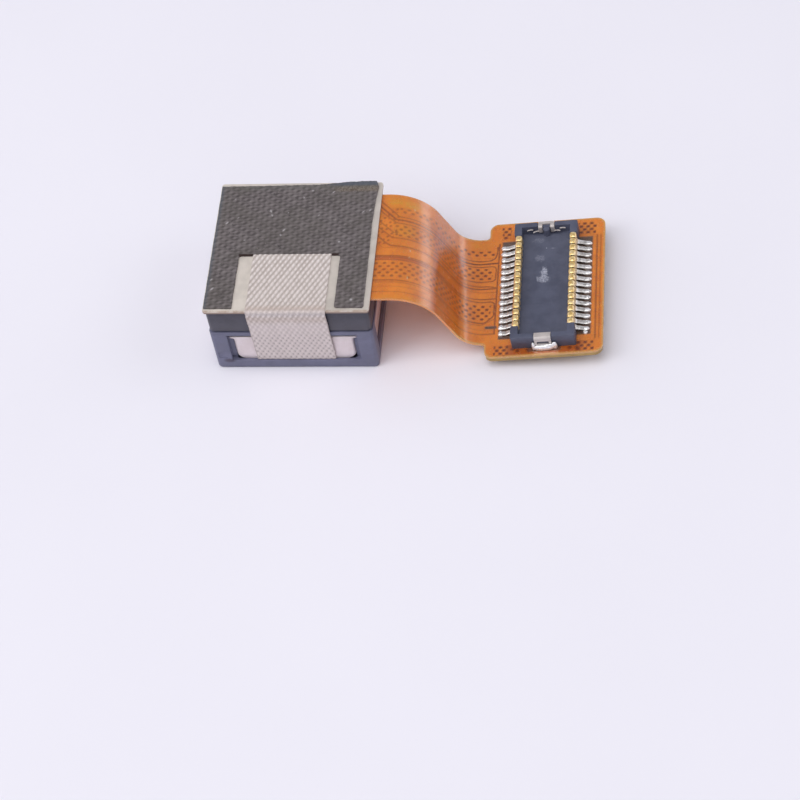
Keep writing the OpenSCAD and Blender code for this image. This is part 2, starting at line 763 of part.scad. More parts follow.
rear_tape();
ground_strap();
rear_stiffener();
flex_circuit();
image_sensor();
bond_wires();
chip_capacitors();
driver_chip();
sensor_base();
infrared_filter();
actuator_base();
coil_terminals();
terminal_solder();
rear_leaf_spring();
front_leaf_spring();
spring_spacer();
magnet(0);  // magnet_right
magnet(1);  // magnet_back
magnet(2);  // magnet_left
magnet(3);  // magnet_front
yoke_can();
voice_coil();
lens_carrier();
lens_barrel();
lens(0);  // lens_1
lens(1);  // lens_2
lens(2);  // lens_3
lens(3);  // lens_4
light_shield_front();
light_shield_rear();
lens_spacer();
retainer_ring();
front_housing();
pad_stiffener();
connector_body();
contacts_left();
contacts_right();
solder_left();
solder_right();
front_clip();
rear_clip();
clip_solder();
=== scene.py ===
"""Camera module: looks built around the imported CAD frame. Lengths are in millimetres until a mesh is made."""

import math

import bmesh
import bpy
import numpy as np
from mathutils import Matrix, Vector


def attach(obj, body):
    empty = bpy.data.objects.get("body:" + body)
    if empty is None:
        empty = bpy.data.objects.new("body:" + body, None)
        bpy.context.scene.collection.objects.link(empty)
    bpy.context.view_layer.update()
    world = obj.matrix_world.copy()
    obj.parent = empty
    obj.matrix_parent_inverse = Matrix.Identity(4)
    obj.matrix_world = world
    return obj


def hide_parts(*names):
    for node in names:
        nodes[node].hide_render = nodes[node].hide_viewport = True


MM = 0.001
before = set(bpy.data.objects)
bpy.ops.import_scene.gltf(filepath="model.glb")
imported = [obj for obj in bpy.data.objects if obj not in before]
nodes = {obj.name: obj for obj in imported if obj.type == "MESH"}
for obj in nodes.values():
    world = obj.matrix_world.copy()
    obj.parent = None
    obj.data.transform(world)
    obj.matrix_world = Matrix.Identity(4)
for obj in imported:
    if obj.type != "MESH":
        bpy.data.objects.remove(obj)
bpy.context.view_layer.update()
scene = bpy.context.scene
rng = np.random.default_rng(7)

# ---------------------------------------------------------------- dimensions shared with the CAD

PLATE_HALF = 4.25
PLATE_TOP = 4.76
TAPE_T = 0.09
STRAP_HALF = 2.02
FILM_TOP = 4.60
FILM_T = 0.12
TAIL_Y, TAIL_HALF = 0.10, 3.44
BEND_X, BEND_R = 4.90, 2.65
FALL = math.radians(64)
FALL_RUN = 1.66
RISE_R = 1.40
TILT = math.radians(4)
SKEW = math.radians(4.7)
TURN = math.radians(1.2)
PAD_AT = (12.59, 0.22)
PAD_HALF = (3.025, 4.38)
PAD_CORNER = 0.45
NECK_R = 0.18
PLUG_AT = (0.05, -0.145)
PLUG_H = 0.85
WALL_IN, WALL_OUT = 1.26, 1.50
TAIL_REACH = 2.36
PLUG_HALF_LEN = 3.77
CONTACTS, PITCH = 15, 0.40

fall_start = (BEND_X + BEND_R * math.sin(FALL), FILM_TOP - BEND_R * (1 - math.cos(FALL)))
fall_end = (fall_start[0] + FALL_RUN * math.cos(FALL), fall_start[1] - FALL_RUN * math.sin(FALL))
rise_mid = (fall_end[0] + RISE_R * math.sin(FALL), fall_end[1] + RISE_R * math.cos(FALL))
rise_end = (rise_mid[0] + RISE_R * math.sin(TILT), rise_mid[1] - RISE_R * math.cos(TILT))
S_FALL = BEND_R * FALL
S_RISE = S_FALL + FALL_RUN
S_PAD = S_RISE + RISE_R * (FALL + TILT)
pad_along = PAD_AT[0] * math.cos(SKEW) + PAD_AT[1] * math.sin(SKEW)
PAD_Z = rise_end[1] + (pad_along - rise_end[0]) * math.tan(TILT)
PAD_ROT = (
    Matrix.Rotation(SKEW, 3, "Z") @ Matrix.Rotation(-TILT, 3, "Y") @ Matrix.Rotation(TURN - SKEW, 3, "Z")
)
PAD_FRAME = (
    Matrix.Translation((PAD_AT[0], PAD_AT[1], PAD_Z))
    @ PAD_ROT.to_4x4()
    @ Matrix.Translation((PLUG_AT[0], PLUG_AT[1], 0))
)


# ---------------------------------------------------------------- materials

SOCKETS = {
    "colour": "Base Color",
    "rough": "Roughness",
    "metal": "Metallic",
    "ior": "IOR",
    "spec": "Specular IOR Level",
    "through": "Transmission Weight",
    "glow": "Emission Color",
    "glow_power": "Emission Strength",
    "under": "Subsurface Weight",
    "under_radius": "Subsurface Radius",
    "under_scale": "Subsurface Scale",
    "normal": "Normal",
}


class Look:
    """A material built from small calls. Its coordinates are in millimetres."""

    def __init__(self, name, **shader):
        self.material = bpy.data.materials.new(name)
        self.material.use_nodes = True
        self.tree = self.material.node_tree
        self.shader = self.tree.nodes["Principled BSDF"]
        place = self.node("TexCoord").outputs["Object"]
        self.mm = self.node("Mapping", {"Vector": place, "Scale": (1000, 1000, 1000)}).outputs[0]
        self.set(**shader)

    def node(self, kind, inputs=None, **settings):
        made = self.tree.nodes.new("ShaderNode" + kind)
        for key, value in settings.items():
            setattr(made, key, value)
        for key, value in (inputs or {}).items():
            self.feed(made.inputs[key], value)
        return made

    def feed(self, socket, value):
        if isinstance(value, bpy.types.NodeSocket):
            self.tree.links.new(value, socket)
        elif isinstance(value, tuple) and len(value) == 3 and socket.type == "RGBA":
            socket.default_value = (*value, 1)
        else:
            socket.default_value = value

    def set(self, **values):
        for socket, value in values.items():
            self.feed(self.shader.inputs[SOCKETS[socket]], value)

    def tone(self):
        """The colour that the material has so far."""
        return self.shader.inputs["Base Color"].links[0].from_socket

    def math(self, operation, a, b=0.0):
        return self.node("Math", {0: a, 1: b}, operation=operation).outputs[0]

    def times(self, a, b):
        return self.math("MULTIPLY", a, b)

    def minus(self, a, b):
        return self.math("SUBTRACT", a, b)

    def over(self, a, b):
        return self.math("DIVIDE", a, b)

    def mix(self, factor, a, b):
        return self.node("Mix", {0: factor, 6: a, 7: b}, data_type="RGBA").outputs[2]

    def layers(self, tone, *coats):
        """A tone with other colours laid over it in turn, each (mask, colour)."""
        for mask, colour in coats:
            tone = self.mix(mask, tone, colour)
        return tone

    def noise(self, scale, detail=3.0, rough=0.5, stretch=None):
        where = self.mm
        if stretch:
            where = self.node("Mapping", {"Vector": self.mm, "Scale": stretch}).outputs[0]
        inputs = {"Vector": where, "Scale": scale, "Detail": detail, "Roughness": rough}
        return self.node("TexNoise", inputs).outputs[0]

    def ramp(self, value, low, high, to_low=0.0, to_high=1.0):
        made = self.node("MapRange", {0: value, 1: low, 2: high, 3: to_low, 4: to_high})
        made.interpolation_type = "SMOOTHSTEP"
        return made.outputs[0]

    def wave(self, value):
        """1 at even values, 0 at odd ones."""
        turned = self.math("COSINE", self.times(value, math.pi))
        return self.add(self.times(turned, 0.5), 0.5)

    def cell(self, a, b):
        """A random number for each pair of whole numbers."""
        whole = self.node("CombineXYZ", {0: self.math("ROUND", a), 1: self.math("ROUND", b)}).outputs[0]
        return self.node("TexWhiteNoise", {"Vector": whole}, noise_dimensions="3D").outputs["Value"]

    def crossed(self, one, two):
        """Two sets of ribs from 0 to 1, and a random number for each crossing."""
        return self.wave(one), self.wave(two), self.cell(self.times(one, 0.5), self.times(two, 0.5))

    def spot(self, centre, size):
        """Distance from a place in millimetres, where 1 is the edge of an ellipsoid of that size."""
        where = self.node("Mapping", {
            "Vector": self.mm, "Location": tuple(-c / s for c, s in zip(centre, size)),
            "Scale": tuple(1 / s for s in size)})
        return self.node("VectorMath", {0: where.outputs[0]}, operation="LENGTH").outputs["Value"]

    def add(self, *values):
        total = values[0]
        for value in values[1:]:
            total = self.math("ADD", total, value)
        return total

    def attribute(self, name):
        return self.node("Attribute", attribute_name=name).outputs["Fac"]

    def axes(self):
        return tuple(self.node("SeparateXYZ", {0: self.mm}).outputs)

    def bump(self, height, distance, strength=1.0):
        inputs = {"Height": height, "Distance": distance * MM, "Strength": strength}
        return self.node("Bump", inputs).outputs[0]


def plastic(name, colour, rough=0.5, grain=0.004, mottle=0.12, spec=0.5):
    """Moulded plastic: fine grain, slight mottling, dusty patches."""
    look = Look(name, spec=spec)
    soft = look.noise(1.3, 4, 0.6)
    fine = look.noise(26, 2, 0.6)
    dark = tuple(c * (1 - mottle) for c in colour)
    light = tuple(min(1, c * (1 + mottle) + 0.004) for c in colour)
    tone = look.mix(look.ramp(soft, 0.35, 0.65), dark, light)
    dust = look.ramp(look.noise(7, 3, 0.7), 0.66, 0.78, 0, 0.10)
    look.set(
        colour=look.mix(dust, tone, (0.62, 0.61, 0.66)),
        rough=look.ramp(soft, 0.3, 0.7, rough - 0.06, rough + 0.08),
        normal=look.bump(fine, grain))
    return look


def metal(name, colour, rough=0.3, brush=None, scale=12.0, depth=0.002, spots=0.12):
    """Bare metal with fine brushing or orange peel, and a little tarnish."""
    look = Look(name, metal=1.0)
    fine = look.noise(scale, 3, 0.6, stretch=brush)
    patch = look.noise(1.6, 3, 0.5)
    dull = tuple(c * (1 - spots) for c in colour)
    look.set(
        colour=look.mix(look.ramp(patch, 0.35, 0.7), colour, dull),
        rough=look.ramp(fine, 0.3, 0.7, max(0.04, rough - 0.07), rough + 0.08),
        normal=look.bump(fine, depth))
    return look


def assign(look, *names):
    for name in names:
        mesh = nodes[name].data
        mesh.materials.clear()
        mesh.materials.append(look.material)


# ---------------------------------------------------------------- mesh helpers

EASED_ANGLE = math.radians(30)  # edges sharper than this are eased


def settle(name, mesh, look, stands_for, sharp):
    """An object of a finished mesh, riding on the fixed body. Edges over the sharp angle stay sharp."""
    mesh.materials.append(look.material)
    made = bpy.data.objects.new(name, mesh)
    scene.collection.objects.link(made)
    if sharp is not None:
        mesh.shade_smooth()
        mesh.set_sharp_from_angle(angle=math.radians(sharp))
    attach(made, "module")
    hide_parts(stands_for)


def piece(name, verts, faces, look, slot, stands_for, smooth=40, place=None, attributes=None):
    """A mesh from millimetre points, with a number at each point for each attribute."""
    mesh = bpy.data.meshes.new(name)
    points = [tuple(float(c) for c in v) for v in verts]
    mesh.from_pydata(points, [], [tuple(int(i) for i in f) for f in faces])
    mesh.validate()
    if place is not None:
        mesh.transform(place)
    mesh.transform(Matrix.Scale(MM, 4))
    for key, values in (attributes or {}).items():
        layer = mesh.attributes.new(key, "FLOAT", "POINT")
        layer.data.foreach_set("value", np.asarray(values, np.float32))
    settle(name, mesh, look, stands_for, smooth)


def both_sides(upper, under=None):
    """An attribute of a sheet's upper points and underside points, the same on both unless given."""
    return np.r_[upper, upper if under is None else under * np.ones(len(upper))]


def eased_copy(node, look, width):
    """A copy of a CAD node with eased edges, which stands for it."""
    work = bmesh.new()
    work.from_mesh(nodes[node].data)
    work.transform(Matrix.Scale(1 / MM, 4))
    bmesh.ops.remove_doubles(work, verts=work.verts, dist=0.0005)
    bmesh.ops.dissolve_limit(work, angle_limit=math.radians(1), verts=work.verts, edges=work.edges)
    edges = [e for e in work.edges if len(e.link_faces) == 2 and e.calc_face_angle(0) > EASED_ANGLE]
    bmesh.ops.bevel(
        work, geom=edges, offset=width, offset_type="OFFSET", segments=2, profile=0.5, affect="EDGES",
        clamp_overlap=True, harden_normals=False)
    bmesh.ops.triangulate(work, faces=[f for f in work.faces if len(f.verts) > 4])
    mesh = bpy.data.meshes.new(node + "_eased")
    work.transform(Matrix.Scale(MM, 4))
    work.to_mesh(mesh)
    work.free()
    settle(node + "_eased", mesh, look, node, 28)


def inside(points, outline):
    """Which points lie inside a closed outline."""
    x, y = points[:, 0], points[:, 1]
    hit = np.zeros(len(points), bool)
    for (x0, y0), (x1, y1) in zip(outline, np.roll(outline, -1, axis=0)):
        if y0 == y1:
            continue
        crosses = (y0 > y) != (y1 > y)
        hit ^= crosses & (x < (x1 - x0) * (y - y0) / (y1 - y0) + x0)
    return hit


def to_line(points, line, closed=False):
    """(distance, nearest point) from each point to a line of points."""
    line = np.asarray(line, float)
    ends = np.roll(line, -1, axis=0) if closed else line[1:]
    starts = line if closed else line[:-1]
    best = np.full(len(points), 1e9)
    near = np.zeros_like(points)
    for a, b in zip(starts, ends):
        d = b - a
        length = d @ d
        t = np.clip(((points - a) @ d) / length, 0, 1) if length > 0 else np.zeros(len(points))
        q = a + t[:, None] * d
        r = np.hypot(*(points - q).T)
        closer = r < best
        best[closer] = r[closer]
        near[closer] = q[closer]
    return best, near


def smooth(value, low, high):
    """0 up to low and 1 from high, with an even curve between."""
    t = np.clip((value - low) / (high - low), 0, 1)
    return t * t * (3 - 2 * t)


def window(value, a, b, c, d):
    """1 from b to c, fading to 0 at a and at d."""
    return smooth(value, a, b) * (1 - smooth(value, c, d))


def straight(x, y):
    """Plan points that lie where the grid has them."""
    return np.column_stack([x, y])


def sheet(grid_x, grid_y, outline, plan_of, top_of, under_of):
    """A closed sheet cut to an outline. Grid points are moved onto the outline at the edge.
    Returns the points in plan, the top and underside points, and the faces."""
    nx, ny = len(grid_x), len(grid_y)
    gx, gy = np.meshgrid(grid_x, grid_y, indexing="ij")
    plan = plan_of(gx.ravel(), gy.ravel())
    cx, cy = np.meshgrid((grid_x[1:] + grid_x[:-1]) / 2, (grid_y[1:] + grid_y[:-1]) / 2, indexing="ij")
    keep = inside(plan_of(cx.ravel(), cy.ravel()), outline)
    i, j = np.meshgrid(np.arange(nx - 1), np.arange(ny - 1), indexing="ij")
    a = (i * ny + j).ravel()[keep]
    quads = np.column_stack([a, a + ny, a + ny + 1, a + 1])
    used, back = np.unique(quads, return_inverse=True)
    quads = back.reshape(-1, 4)
    plan = plan[used]
    edges = np.vstack([quads[:, [0, 1]], quads[:, [1, 2]], quads[:, [2, 3]], quads[:, [3, 0]]])
    key = np.sort(edges, axis=1)
    _, first, count = np.unique(key, axis=0, return_index=True, return_counts=True)
    rim = edges[first[count == 1]]
    on_rim = np.unique(rim)
    _, near = to_line(plan[on_rim], outline, closed=True)
    plan[on_rim] = near
    top, under = top_of(plan), under_of(plan)
    n = len(plan)
    faces = [tuple(q) for q in quads] + [tuple(q[::-1] + n) for q in quads]
    faces += [(int(b), int(a), int(a) + n, int(b) + n) for a, b in rim]
    return plan, top, under, faces


def round_outline(w, d, r, n=6):
    """A rectangle with round corners, about the origin."""
    points = []
    for cx, cy, start in ((1, 1, 0), (-1, 1, 90), (-1, -1, 180), (1, -1, 270)):
        for k in range(n + 1):
            a = math.radians(start + 90 * k / n)
            points.append((cx * (w - r) + r * math.cos(a), cy * (d - r) + r * math.sin(a)))
    return np.array(points)


def weave(u, v, pitch_u, pitch_v, lift=0.5):
    """Height of a plain weave from 0 to 1, with threads at multiples of each pitch."""
    a, b = u / pitch_u, v / pitch_v
    i, j = np.round(a), np.round(b)
    crown_a = np.sqrt(np.clip(1 - (1.75 * (a - i)) ** 2, 0, 1))
    crown_b = np.sqrt(np.clip(1 - (1.75 * (b - j)) ** 2, 0, 1))
    warp = crown_a + lift * (1 - 2 * (i % 2)) * np.cos(math.pi * b)
    weft = crown_b - lift * (1 - 2 * (j % 2)) * np.cos(math.pi * a)
    return np.maximum(warp, weft) / (1 + lift)


def bend_line(points, radius, steps=4):
    """Rounds the corners of a line of 2D points."""
    points = [np.array(p, float) for p in points]
    out = [points[0]]
    for before, here, after in zip(points, points[1:], points[2:]):
        a, b = before - here, after - here
        la, lb = np.linalg.norm(a), np.linalg.norm(b)
        r = min(radius, la * 0.45, lb * 0.45)
        p, q = here + a / la * r, here + b / lb * r
        for k in range(steps + 1):
            t = k / steps
            out.append((1 - t) ** 2 * p + 2 * t * (1 - t) * here + t**2 * q)
    out.append(points[-1])
    return np.array(out)


def resample(line, step):
    """A line with even steps, and the length along it at each point."""
    line = np.asarray(line, float)
    d = np.r_[0, np.cumsum(np.linalg.norm(np.diff(line, axis=0), axis=1))]
    n = max(2, int(round(d[-1] / step)) + 1)
    t = np.linspace(0, d[-1], n)
    return np.column_stack([np.interp(t, d, line[:, k]) for k in range(line.shape[1])]), t


def line_normals(line):
    tangent = np.gradient(line, axis=0)
    tangent /= np.linalg.norm(tangent, axis=1)[:, None]
    return np.column_stack([-tangent[:, 1], tangent[:, 0]])


def band(a, b, n):
    """Faces between two closed rings of n points that start at a and at b."""
    return [(a + i, a + (i + 1) % n, b + (i + 1) % n, b + i) for i in range(n)]


def sweep(line, section_at):
    """A bent strip along a line in the XZ plane. section_at(k) gives its (across, out) points at step k."""
    line = np.asarray(line, float)
    verts = []
    for k, (p, n) in enumerate(zip(line, line_normals(line))):
        section = section_at(k)
        verts += [(p[0] + n[0] * z, y, p[1] + n[1] * z) for y, z in section]
    m = len(section)
    last = (len(line) - 1) * m
    faces = [face for a in range(0, last, m) for face in band(a, a + m, m)]
    faces += [tuple(range(m))[::-1], tuple(last + i for i in range(m))]
    return np.array(verts), faces


def strip(line, width, thick):
    """A strip of even width with eased edges."""
    e, h, t = thick * 0.4, width / 2, thick / 2
    ring = [(-h + e, -t), (h - e, -t), (h, -t + e), (h, t - e),
            (h - e, t), (-h + e, t), (-h, t - e), (-h, -t + e)]
    return sweep(line, lambda k: ring)


def joined(parts):
    """Several (points, faces) as one."""
    verts, faces, start = [], [], 0
    for v, f in parts:
        verts.append(np.asarray(v, float))
        faces += [tuple(i + start for i in face) for face in f]
        start += len(v)
    return np.vstack(verts), faces


def blob(centre, size, rings=8, around=14, power=1.0, wobble=0.0, seed=0):
    """A rounded lump, slightly uneven."""
    local = np.random.default_rng(seed)
    phase = local.uniform(0, 2 * math.pi, 4)
    verts = [(0, 0, -1)]
    for k in range(1, rings):
        a = math.pi * k / rings
        for i in range(around):
            b = 2 * math.pi * i / around
            r = math.sin(a) ** power
            bump = 1 + wobble * (math.sin(2 * b + phase[0]) + 0.6 * math.sin(3 * b + phase[1] + a))
            verts.append((r * math.cos(b) * bump, r * math.sin(b) * bump, -math.cos(a)))
    verts.append((0, 0, 1))
    faces = [(0, 1 + (i + 1) % around, 1 + i) for i in range(around)]
    last = 1 + (rings - 2) * around
    for a in range(1, last, around):
        faces += band(a, a + around, around)
    faces += [(last + i, last + (i + 1) % around, len(verts) - 1) for i in range(around)]
    return np.array(verts) * np.array(size) + np.array(centre), faces


# ---------------------------------------------------------------- camera, light and floor

# The camera stands in front of the module, well above it. Its place is in millimetres.
camera = bpy.data.objects.new("camera", bpy.data.cameras.new("camera"))
scene.collection.objects.link(camera)
scene.camera = camera
camera.data.lens = 117
camera.data.sensor_width = 36
camera.data.clip_start = 0.005
camera.data.clip_end = 5
right = Vector((0.98953, 0.08433, -0.11714))
down = Vector((-0.00128, -0.80643, -0.59133))
forward = Vector((-0.14434, 0.58529, -0.79787))
camera.matrix_world = Matrix.Translation(Vector((24.494, -83.490, 105.309)) * MM) @ Matrix(
    (right, -down, -forward)
).transposed().to_4x4()

scene.view_settings.view_transform = "Standard"
world = bpy.data.worlds.new("studio")
scene.world = world
world.use_nodes = True
DOME = 0.395
NEAR_HORIZON, OVERHEAD = 1.0, 0.30
sky = world.node_tree


def sky_node(kind, inputs, **settings):
    made = sky.nodes.new("ShaderNode" + kind)
    for key, value in settings.items():
        setattr(made, key, value)
    for key, value in inputs.items():
        if isinstance(value, bpy.types.NodeSocket):
            sky.links.new(value, made.inputs[key])
        else:
            made.inputs[key].default_value = value
    return made.outputs


# The studio's dome: even for soft light, and brighter towards the horizon where it is seen or mirrored
path = sky_node("LightPath", {})
seen = sky_node("Math", {0: path["Is Camera Ray"], 1: path["Is Glossy Ray"]}, operation="MAXIMUM")[0]
seen = sky_node("Math", {0: seen, 1: path["Is Transmission Ray"]}, operation="MAXIMUM")[0]
height = sky_node("SeparateXYZ", {0: sky_node("TexCoord", {})["Generated"]})[2]
shown = sky_node("MapRange", {0: height, 1: 0.12, 2: 0.72, 3: NEAR_HORIZON, 4: OVERHEAD})[0]
background = sky.nodes["Background"].inputs
background["Color"].default_value = (0.94, 0.93, 1.0, 1)
sky.links.new(sky_node("MapRange", {0: seen, 1: 0, 2: 1, 3: DOME, 4: shown})[0], background["Strength"])

# Soft lights: (direction from the front, height, angular size, all in degrees, share, colour)
NEUTRAL, COOL = (1.0, 0.99, 0.99), (0.98, 0.98, 1.0)
LIGHTS = {
    "overhead": (-21, 75, 46, 0.44, NEUTRAL),
    "key_left": (-60, 42, 32, 0.25, NEUTRAL),
    "side_right": (92, 40, 32, 0.115, COOL),
    "low_left": (-95, 17, 40, 0.23, COOL),
    "back": (129, 9, 26, 0.06, COOL),
}
REACH = 0.5  # metres from the lights to the module
AIM = Vector((0.005, 0, 0))
for name, (turn, height, wide, share, colour) in LIGHTS.items():
    turn, height = math.radians(turn), math.radians(height)
    way = Vector((math.sin(turn) * math.cos(height), -math.cos(turn) * math.cos(height), math.sin(height)))
    light = bpy.data.lights.new(name, "AREA")
    light.shape = "DISK"
    light.size = 2 * REACH * math.tan(math.radians(wide / 2))
    light.energy = share * math.pi**2 * REACH**2
    light.color = colour
    lamp = bpy.data.objects.new(name, light)
    scene.collection.objects.link(lamp)
    lamp.location = AIM + way * REACH
    lamp.rotation_euler = (-way).to_track_quat("-Z", "Y").to_euler()

floor_look = Look("floor", rough=0.9, spec=0.2)
cloudy = floor_look.ramp(floor_look.noise(0.05, 2), 0.35, 0.65)
floor_look.set(colour=floor_look.mix(cloudy, (0.83, 0.82, 0.89), (0.84, 0.83, 0.90)))
floor_mesh = bpy.data.meshes.new("floor")
FLOOR = 1.5
corners = [(-FLOOR, -FLOOR, 0), (FLOOR, -FLOOR, 0), (FLOOR, FLOOR, 0), (-FLOOR, FLOOR, 0)]
floor_mesh.from_pydata(corners, [], [(0, 1, 2, 3)])
floor_mesh.materials.append(floor_look.material)
floor = bpy.data.objects.new("floor", floor_mesh)
scene.collection.objects.link(floor)
floor.location.z = -0.00001  # just clear of the face that the module lies on


# ---------------------------------------------------------------- rear tape: woven dark cloth


def diagonal(x, y, pitch_x, pitch_y, lean):
    """Rib height from 0 to 1 of a cloth whose crowns run together along one diagonal by a share."""
    a = np.cos(math.pi * (y / pitch_y - x / pitch_x))
    b = np.cos(math.pi * (y / pitch_y + x / pitch_x))
    return 0.5 + 0.5 * (a + lean * b) / (1 + lean)


def fibres(points, places, size):
    """1 in short marks: round (0), along the rising diagonal (1) or the falling one (2)."""
    mark = np.zeros(len(points))
    for x, y, scale, lean in places:
        dx, dy = points[:, 0] - x, points[:, 1] - y
        way = (0, 0.9, -1.1)[lean]
        a, b = dx * math.cos(way) + dy * math.sin(way), dy * math.cos(way) - dx * math.sin(way)
        d = np.hypot(a / (1.9 if lean else 1.0), b / (0.75 if lean else 1.0))
        mark = np.maximum(mark, 1 - smooth(d, size * scale * 0.4, size * scale * 1.4))
    return mark


def frayed(outline, step, amount, pitch):
    """An outline cut through cloth, uneven by up to the amount."""
    line, _ = resample(np.vstack([outline, outline[:1]]), step)
    line = line[:-1]
    phase = line[:, 0] * 7.3 + line[:, 1] * 5.1
    push = amount * (np.sin(2 * math.pi * (line[:, 0] + line[:, 1]) / pitch) * 0.5 + 0.5 * np.sin(phase))
    middle = outline.mean(axis=0)
    return line + (line - middle) / np.linalg.norm(line - middle, axis=1)[:, None] * push[:, None]


TAPE = np.array([
    (-4.20, -4.06), (-2.76, -4.06), (-2.76, -0.78), (-2.73, -0.69), (-2.64, -0.65), (-2.04, -0.65),
    (-2.04, -0.56), (2.04, -0.56), (2.04, -0.65), (2.36, -0.65), (2.45, -0.69), (2.48, -0.78),
    (2.48, -3.98), (2.60, -4.04), (3.89, -4.04), (3.96, -3.96),
    (3.94, -0.6), (3.91, 1.4), (3.97, 3.1), (4.06, 3.9), (3.92, 4.25), (2.40, 4.22), (0.90, 4.07),
    (-4.20, 4.02),
])
# Dust on the tape: (x, y, size, 0 for a speck or 1 or 2 for a fibre along either diagonal)
TAPE_DUST = [
    (-1.43, 2.30, 1.0, 2), (-1.34, 2.02, 0.8, 2), (-0.62, 1.02, 0.9, 1), (-0.75, 0.70, 0.8, 2),
    (2.33, 0.22, 1.1, 0), (3.3, -3.55, 1.3, 0), (-3.9, -2.8, 1.2, 1), (-4.0, -2.2, 0.8, 1),
    (-3.65, 1.55, 0.9, 1), (0.62, 3.66, 0.9, 0), (1.72, 3.55, 0.8, 1), (-2.6, 0.4, 0.6, 0),
    (0.2, 3.2, 0.7, 2), (-1.65, 0.42, 0.4, 0), (-3.4, 3.15, 0.6, 0), (3.4, 2.2, 0.8, 1),
    (3.75, 2.3, 0.8, 1), (-0.5, 2.2, 0.5, 0), (1.1, 2.0, 0.5, 1), (-3.1, 1.9, 0.5, 1),
]
TAPE_PITCH = (0.284, 0.198)
TAPE_LEAN = 0.15


def make_tape():
    look = Look("tape_cloth", spec=0.4)
    x, y, _ = look.axes()
    wander = look.times(look.minus(look.noise(1.1, 2), 0.5), 0.5)
    row = look.minus(y, look.times(x, TAPE_LEAN))
    across = look.add(look.over(x, TAPE_PITCH[0]), wander)
    up = look.add(look.over(row, TAPE_PITCH[1]), wander)
    lean, cross, crown = look.crossed(look.minus(up, across), look.add(up, across))
    warp = look.times(lean, look.add(look.times(cross, 0.6), 0.4))
    weft = look.times(look.minus(1.0, lean), look.minus(1.0, cross))
    rib = look.add(look.times(warp, 0.62), look.times(weft, 0.38))
    streak = look.noise(5.2, 3, 0.65, stretch=(0.55, 1.5, 1))
    fuzz = look.noise(11, 2, 0.7)
    level = look.add(
        look.times(rib, 0.85), look.times(crown, 0.15),
        look.times(streak, 0.42), look.times(fuzz, 0.30))
    tone = look.mix(look.ramp(level, 0.38, 1.12), (0.066, 0.055, 0.056), (0.205, 0.180, 0.180))
    worn = look.mix(look.ramp(fuzz, 0.4, 0.6), (0.09, 0.062, 0.045), (0.24, 0.20, 0.16))
    look.set(colour=look.layers(
        tone,
        (look.ramp(look.noise(0.7, 3, 0.5), 0.40, 0.62, 0, 0.30), (0.094, 0.084, 0.072)),
        (look.ramp(look.noise(4.3, 2, 0.9, stretch=(1, 0.6, 1)), 0.665, 0.76, 0, 0.45), (0.30, 0.27, 0.25)),
        (look.ramp(look.noise(3.4, 2, 0.7), 0.36, 0.27, 0, 0.55), (0.030, 0.026, 0.028)),
        (look.attribute("worn"), worn),
        (look.ramp(x, -4.22, -3.95, 0.60, 0), (0.105, 0.125, 0.150)),
        (look.times(look.ramp(y, 3.60, 3.95), 0.35), (0.115, 0.118, 0.105)),
        (look.times(look.attribute("shade"), 0.7), (0.075, 0.090, 0.120)),
        # Painted shadow: a dark line along the back edge of each notch beside the strap
        (look.attribute("notch_shadow"), (0.022, 0.008, 0.006)),
        (look.attribute("dust"), (0.40, 0.375, 0.385))))
    look.set(rough=look.ramp(level, 0.5, 1.1, 0.66, 0.46), normal=look.bump(level, 0.035, 0.8))

    outline = frayed(TAPE, 0.05, 0.012, 0.21)
    grid = np.arange(-4.38, 4.42, 0.045)

    def lifted(p):
        return 0.05 * smooth(p[:, 0], 1.2, 3.6) * smooth(p[:, 1], 3.3, 4.2)

    def top(p):
        x, y = p.T
        threads = weave(x, y - TAPE_LEAN * x, *TAPE_PITCH)
        rib = diagonal(x, y - TAPE_LEAN * x, *TAPE_PITCH, 0.35)
        wave = 0.006 * np.sin(1.3 * x + 0.7) * np.cos(1.7 * y)
        z = PLATE_TOP + 0.055 + 0.007 * threads + 0.022 * rib + wave + lifted(p)
        return np.column_stack([x, y, z])

    def under(p):
        return np.column_stack([p, np.full(len(p), PLATE_TOP + 0.001) + lifted(p)])

    plan, up, low, faces = sheet(grid, grid, outline, straight, top, under)
    x, y = plan.T
    worn = 0.8 * smooth(x, 1.5, 2.2) * window(y, 3.5, 3.7, 3.85, 3.98)
    shade = smooth(x, 0.9, 2.4) * smooth(y, 3.93, 4.03)
    # Painted shadow under the tape's edge at the back of each notch
    notch_shadow = (y < -0.55) * (y > -0.70) * (np.abs(x) > 2.03) * (x > -2.77) * (x < 2.40) * 1.0
    dust = fibres(plan, TAPE_DUST, 0.055)
    piece(
        "rear_tape_cloth", np.vstack([up, low]), faces, look, "dark_cloth", stands_for="rear_tape",
        smooth=None, attributes={"dust": both_sides(dust, 0), "worn": both_sides(worn, 0),
                                 "shade": both_sides(shade), "notch_shadow": both_sides(notch_shadow)})


# ---------------------------------------------------------------- ground strap: silver woven cloth

STRAP_PITCH = (0.1385, 0.247)
STRAP_FOLD = 3.72
STRAP_TURN = (3.8, 4.4)  # where the ribs turn from one diagonal to both


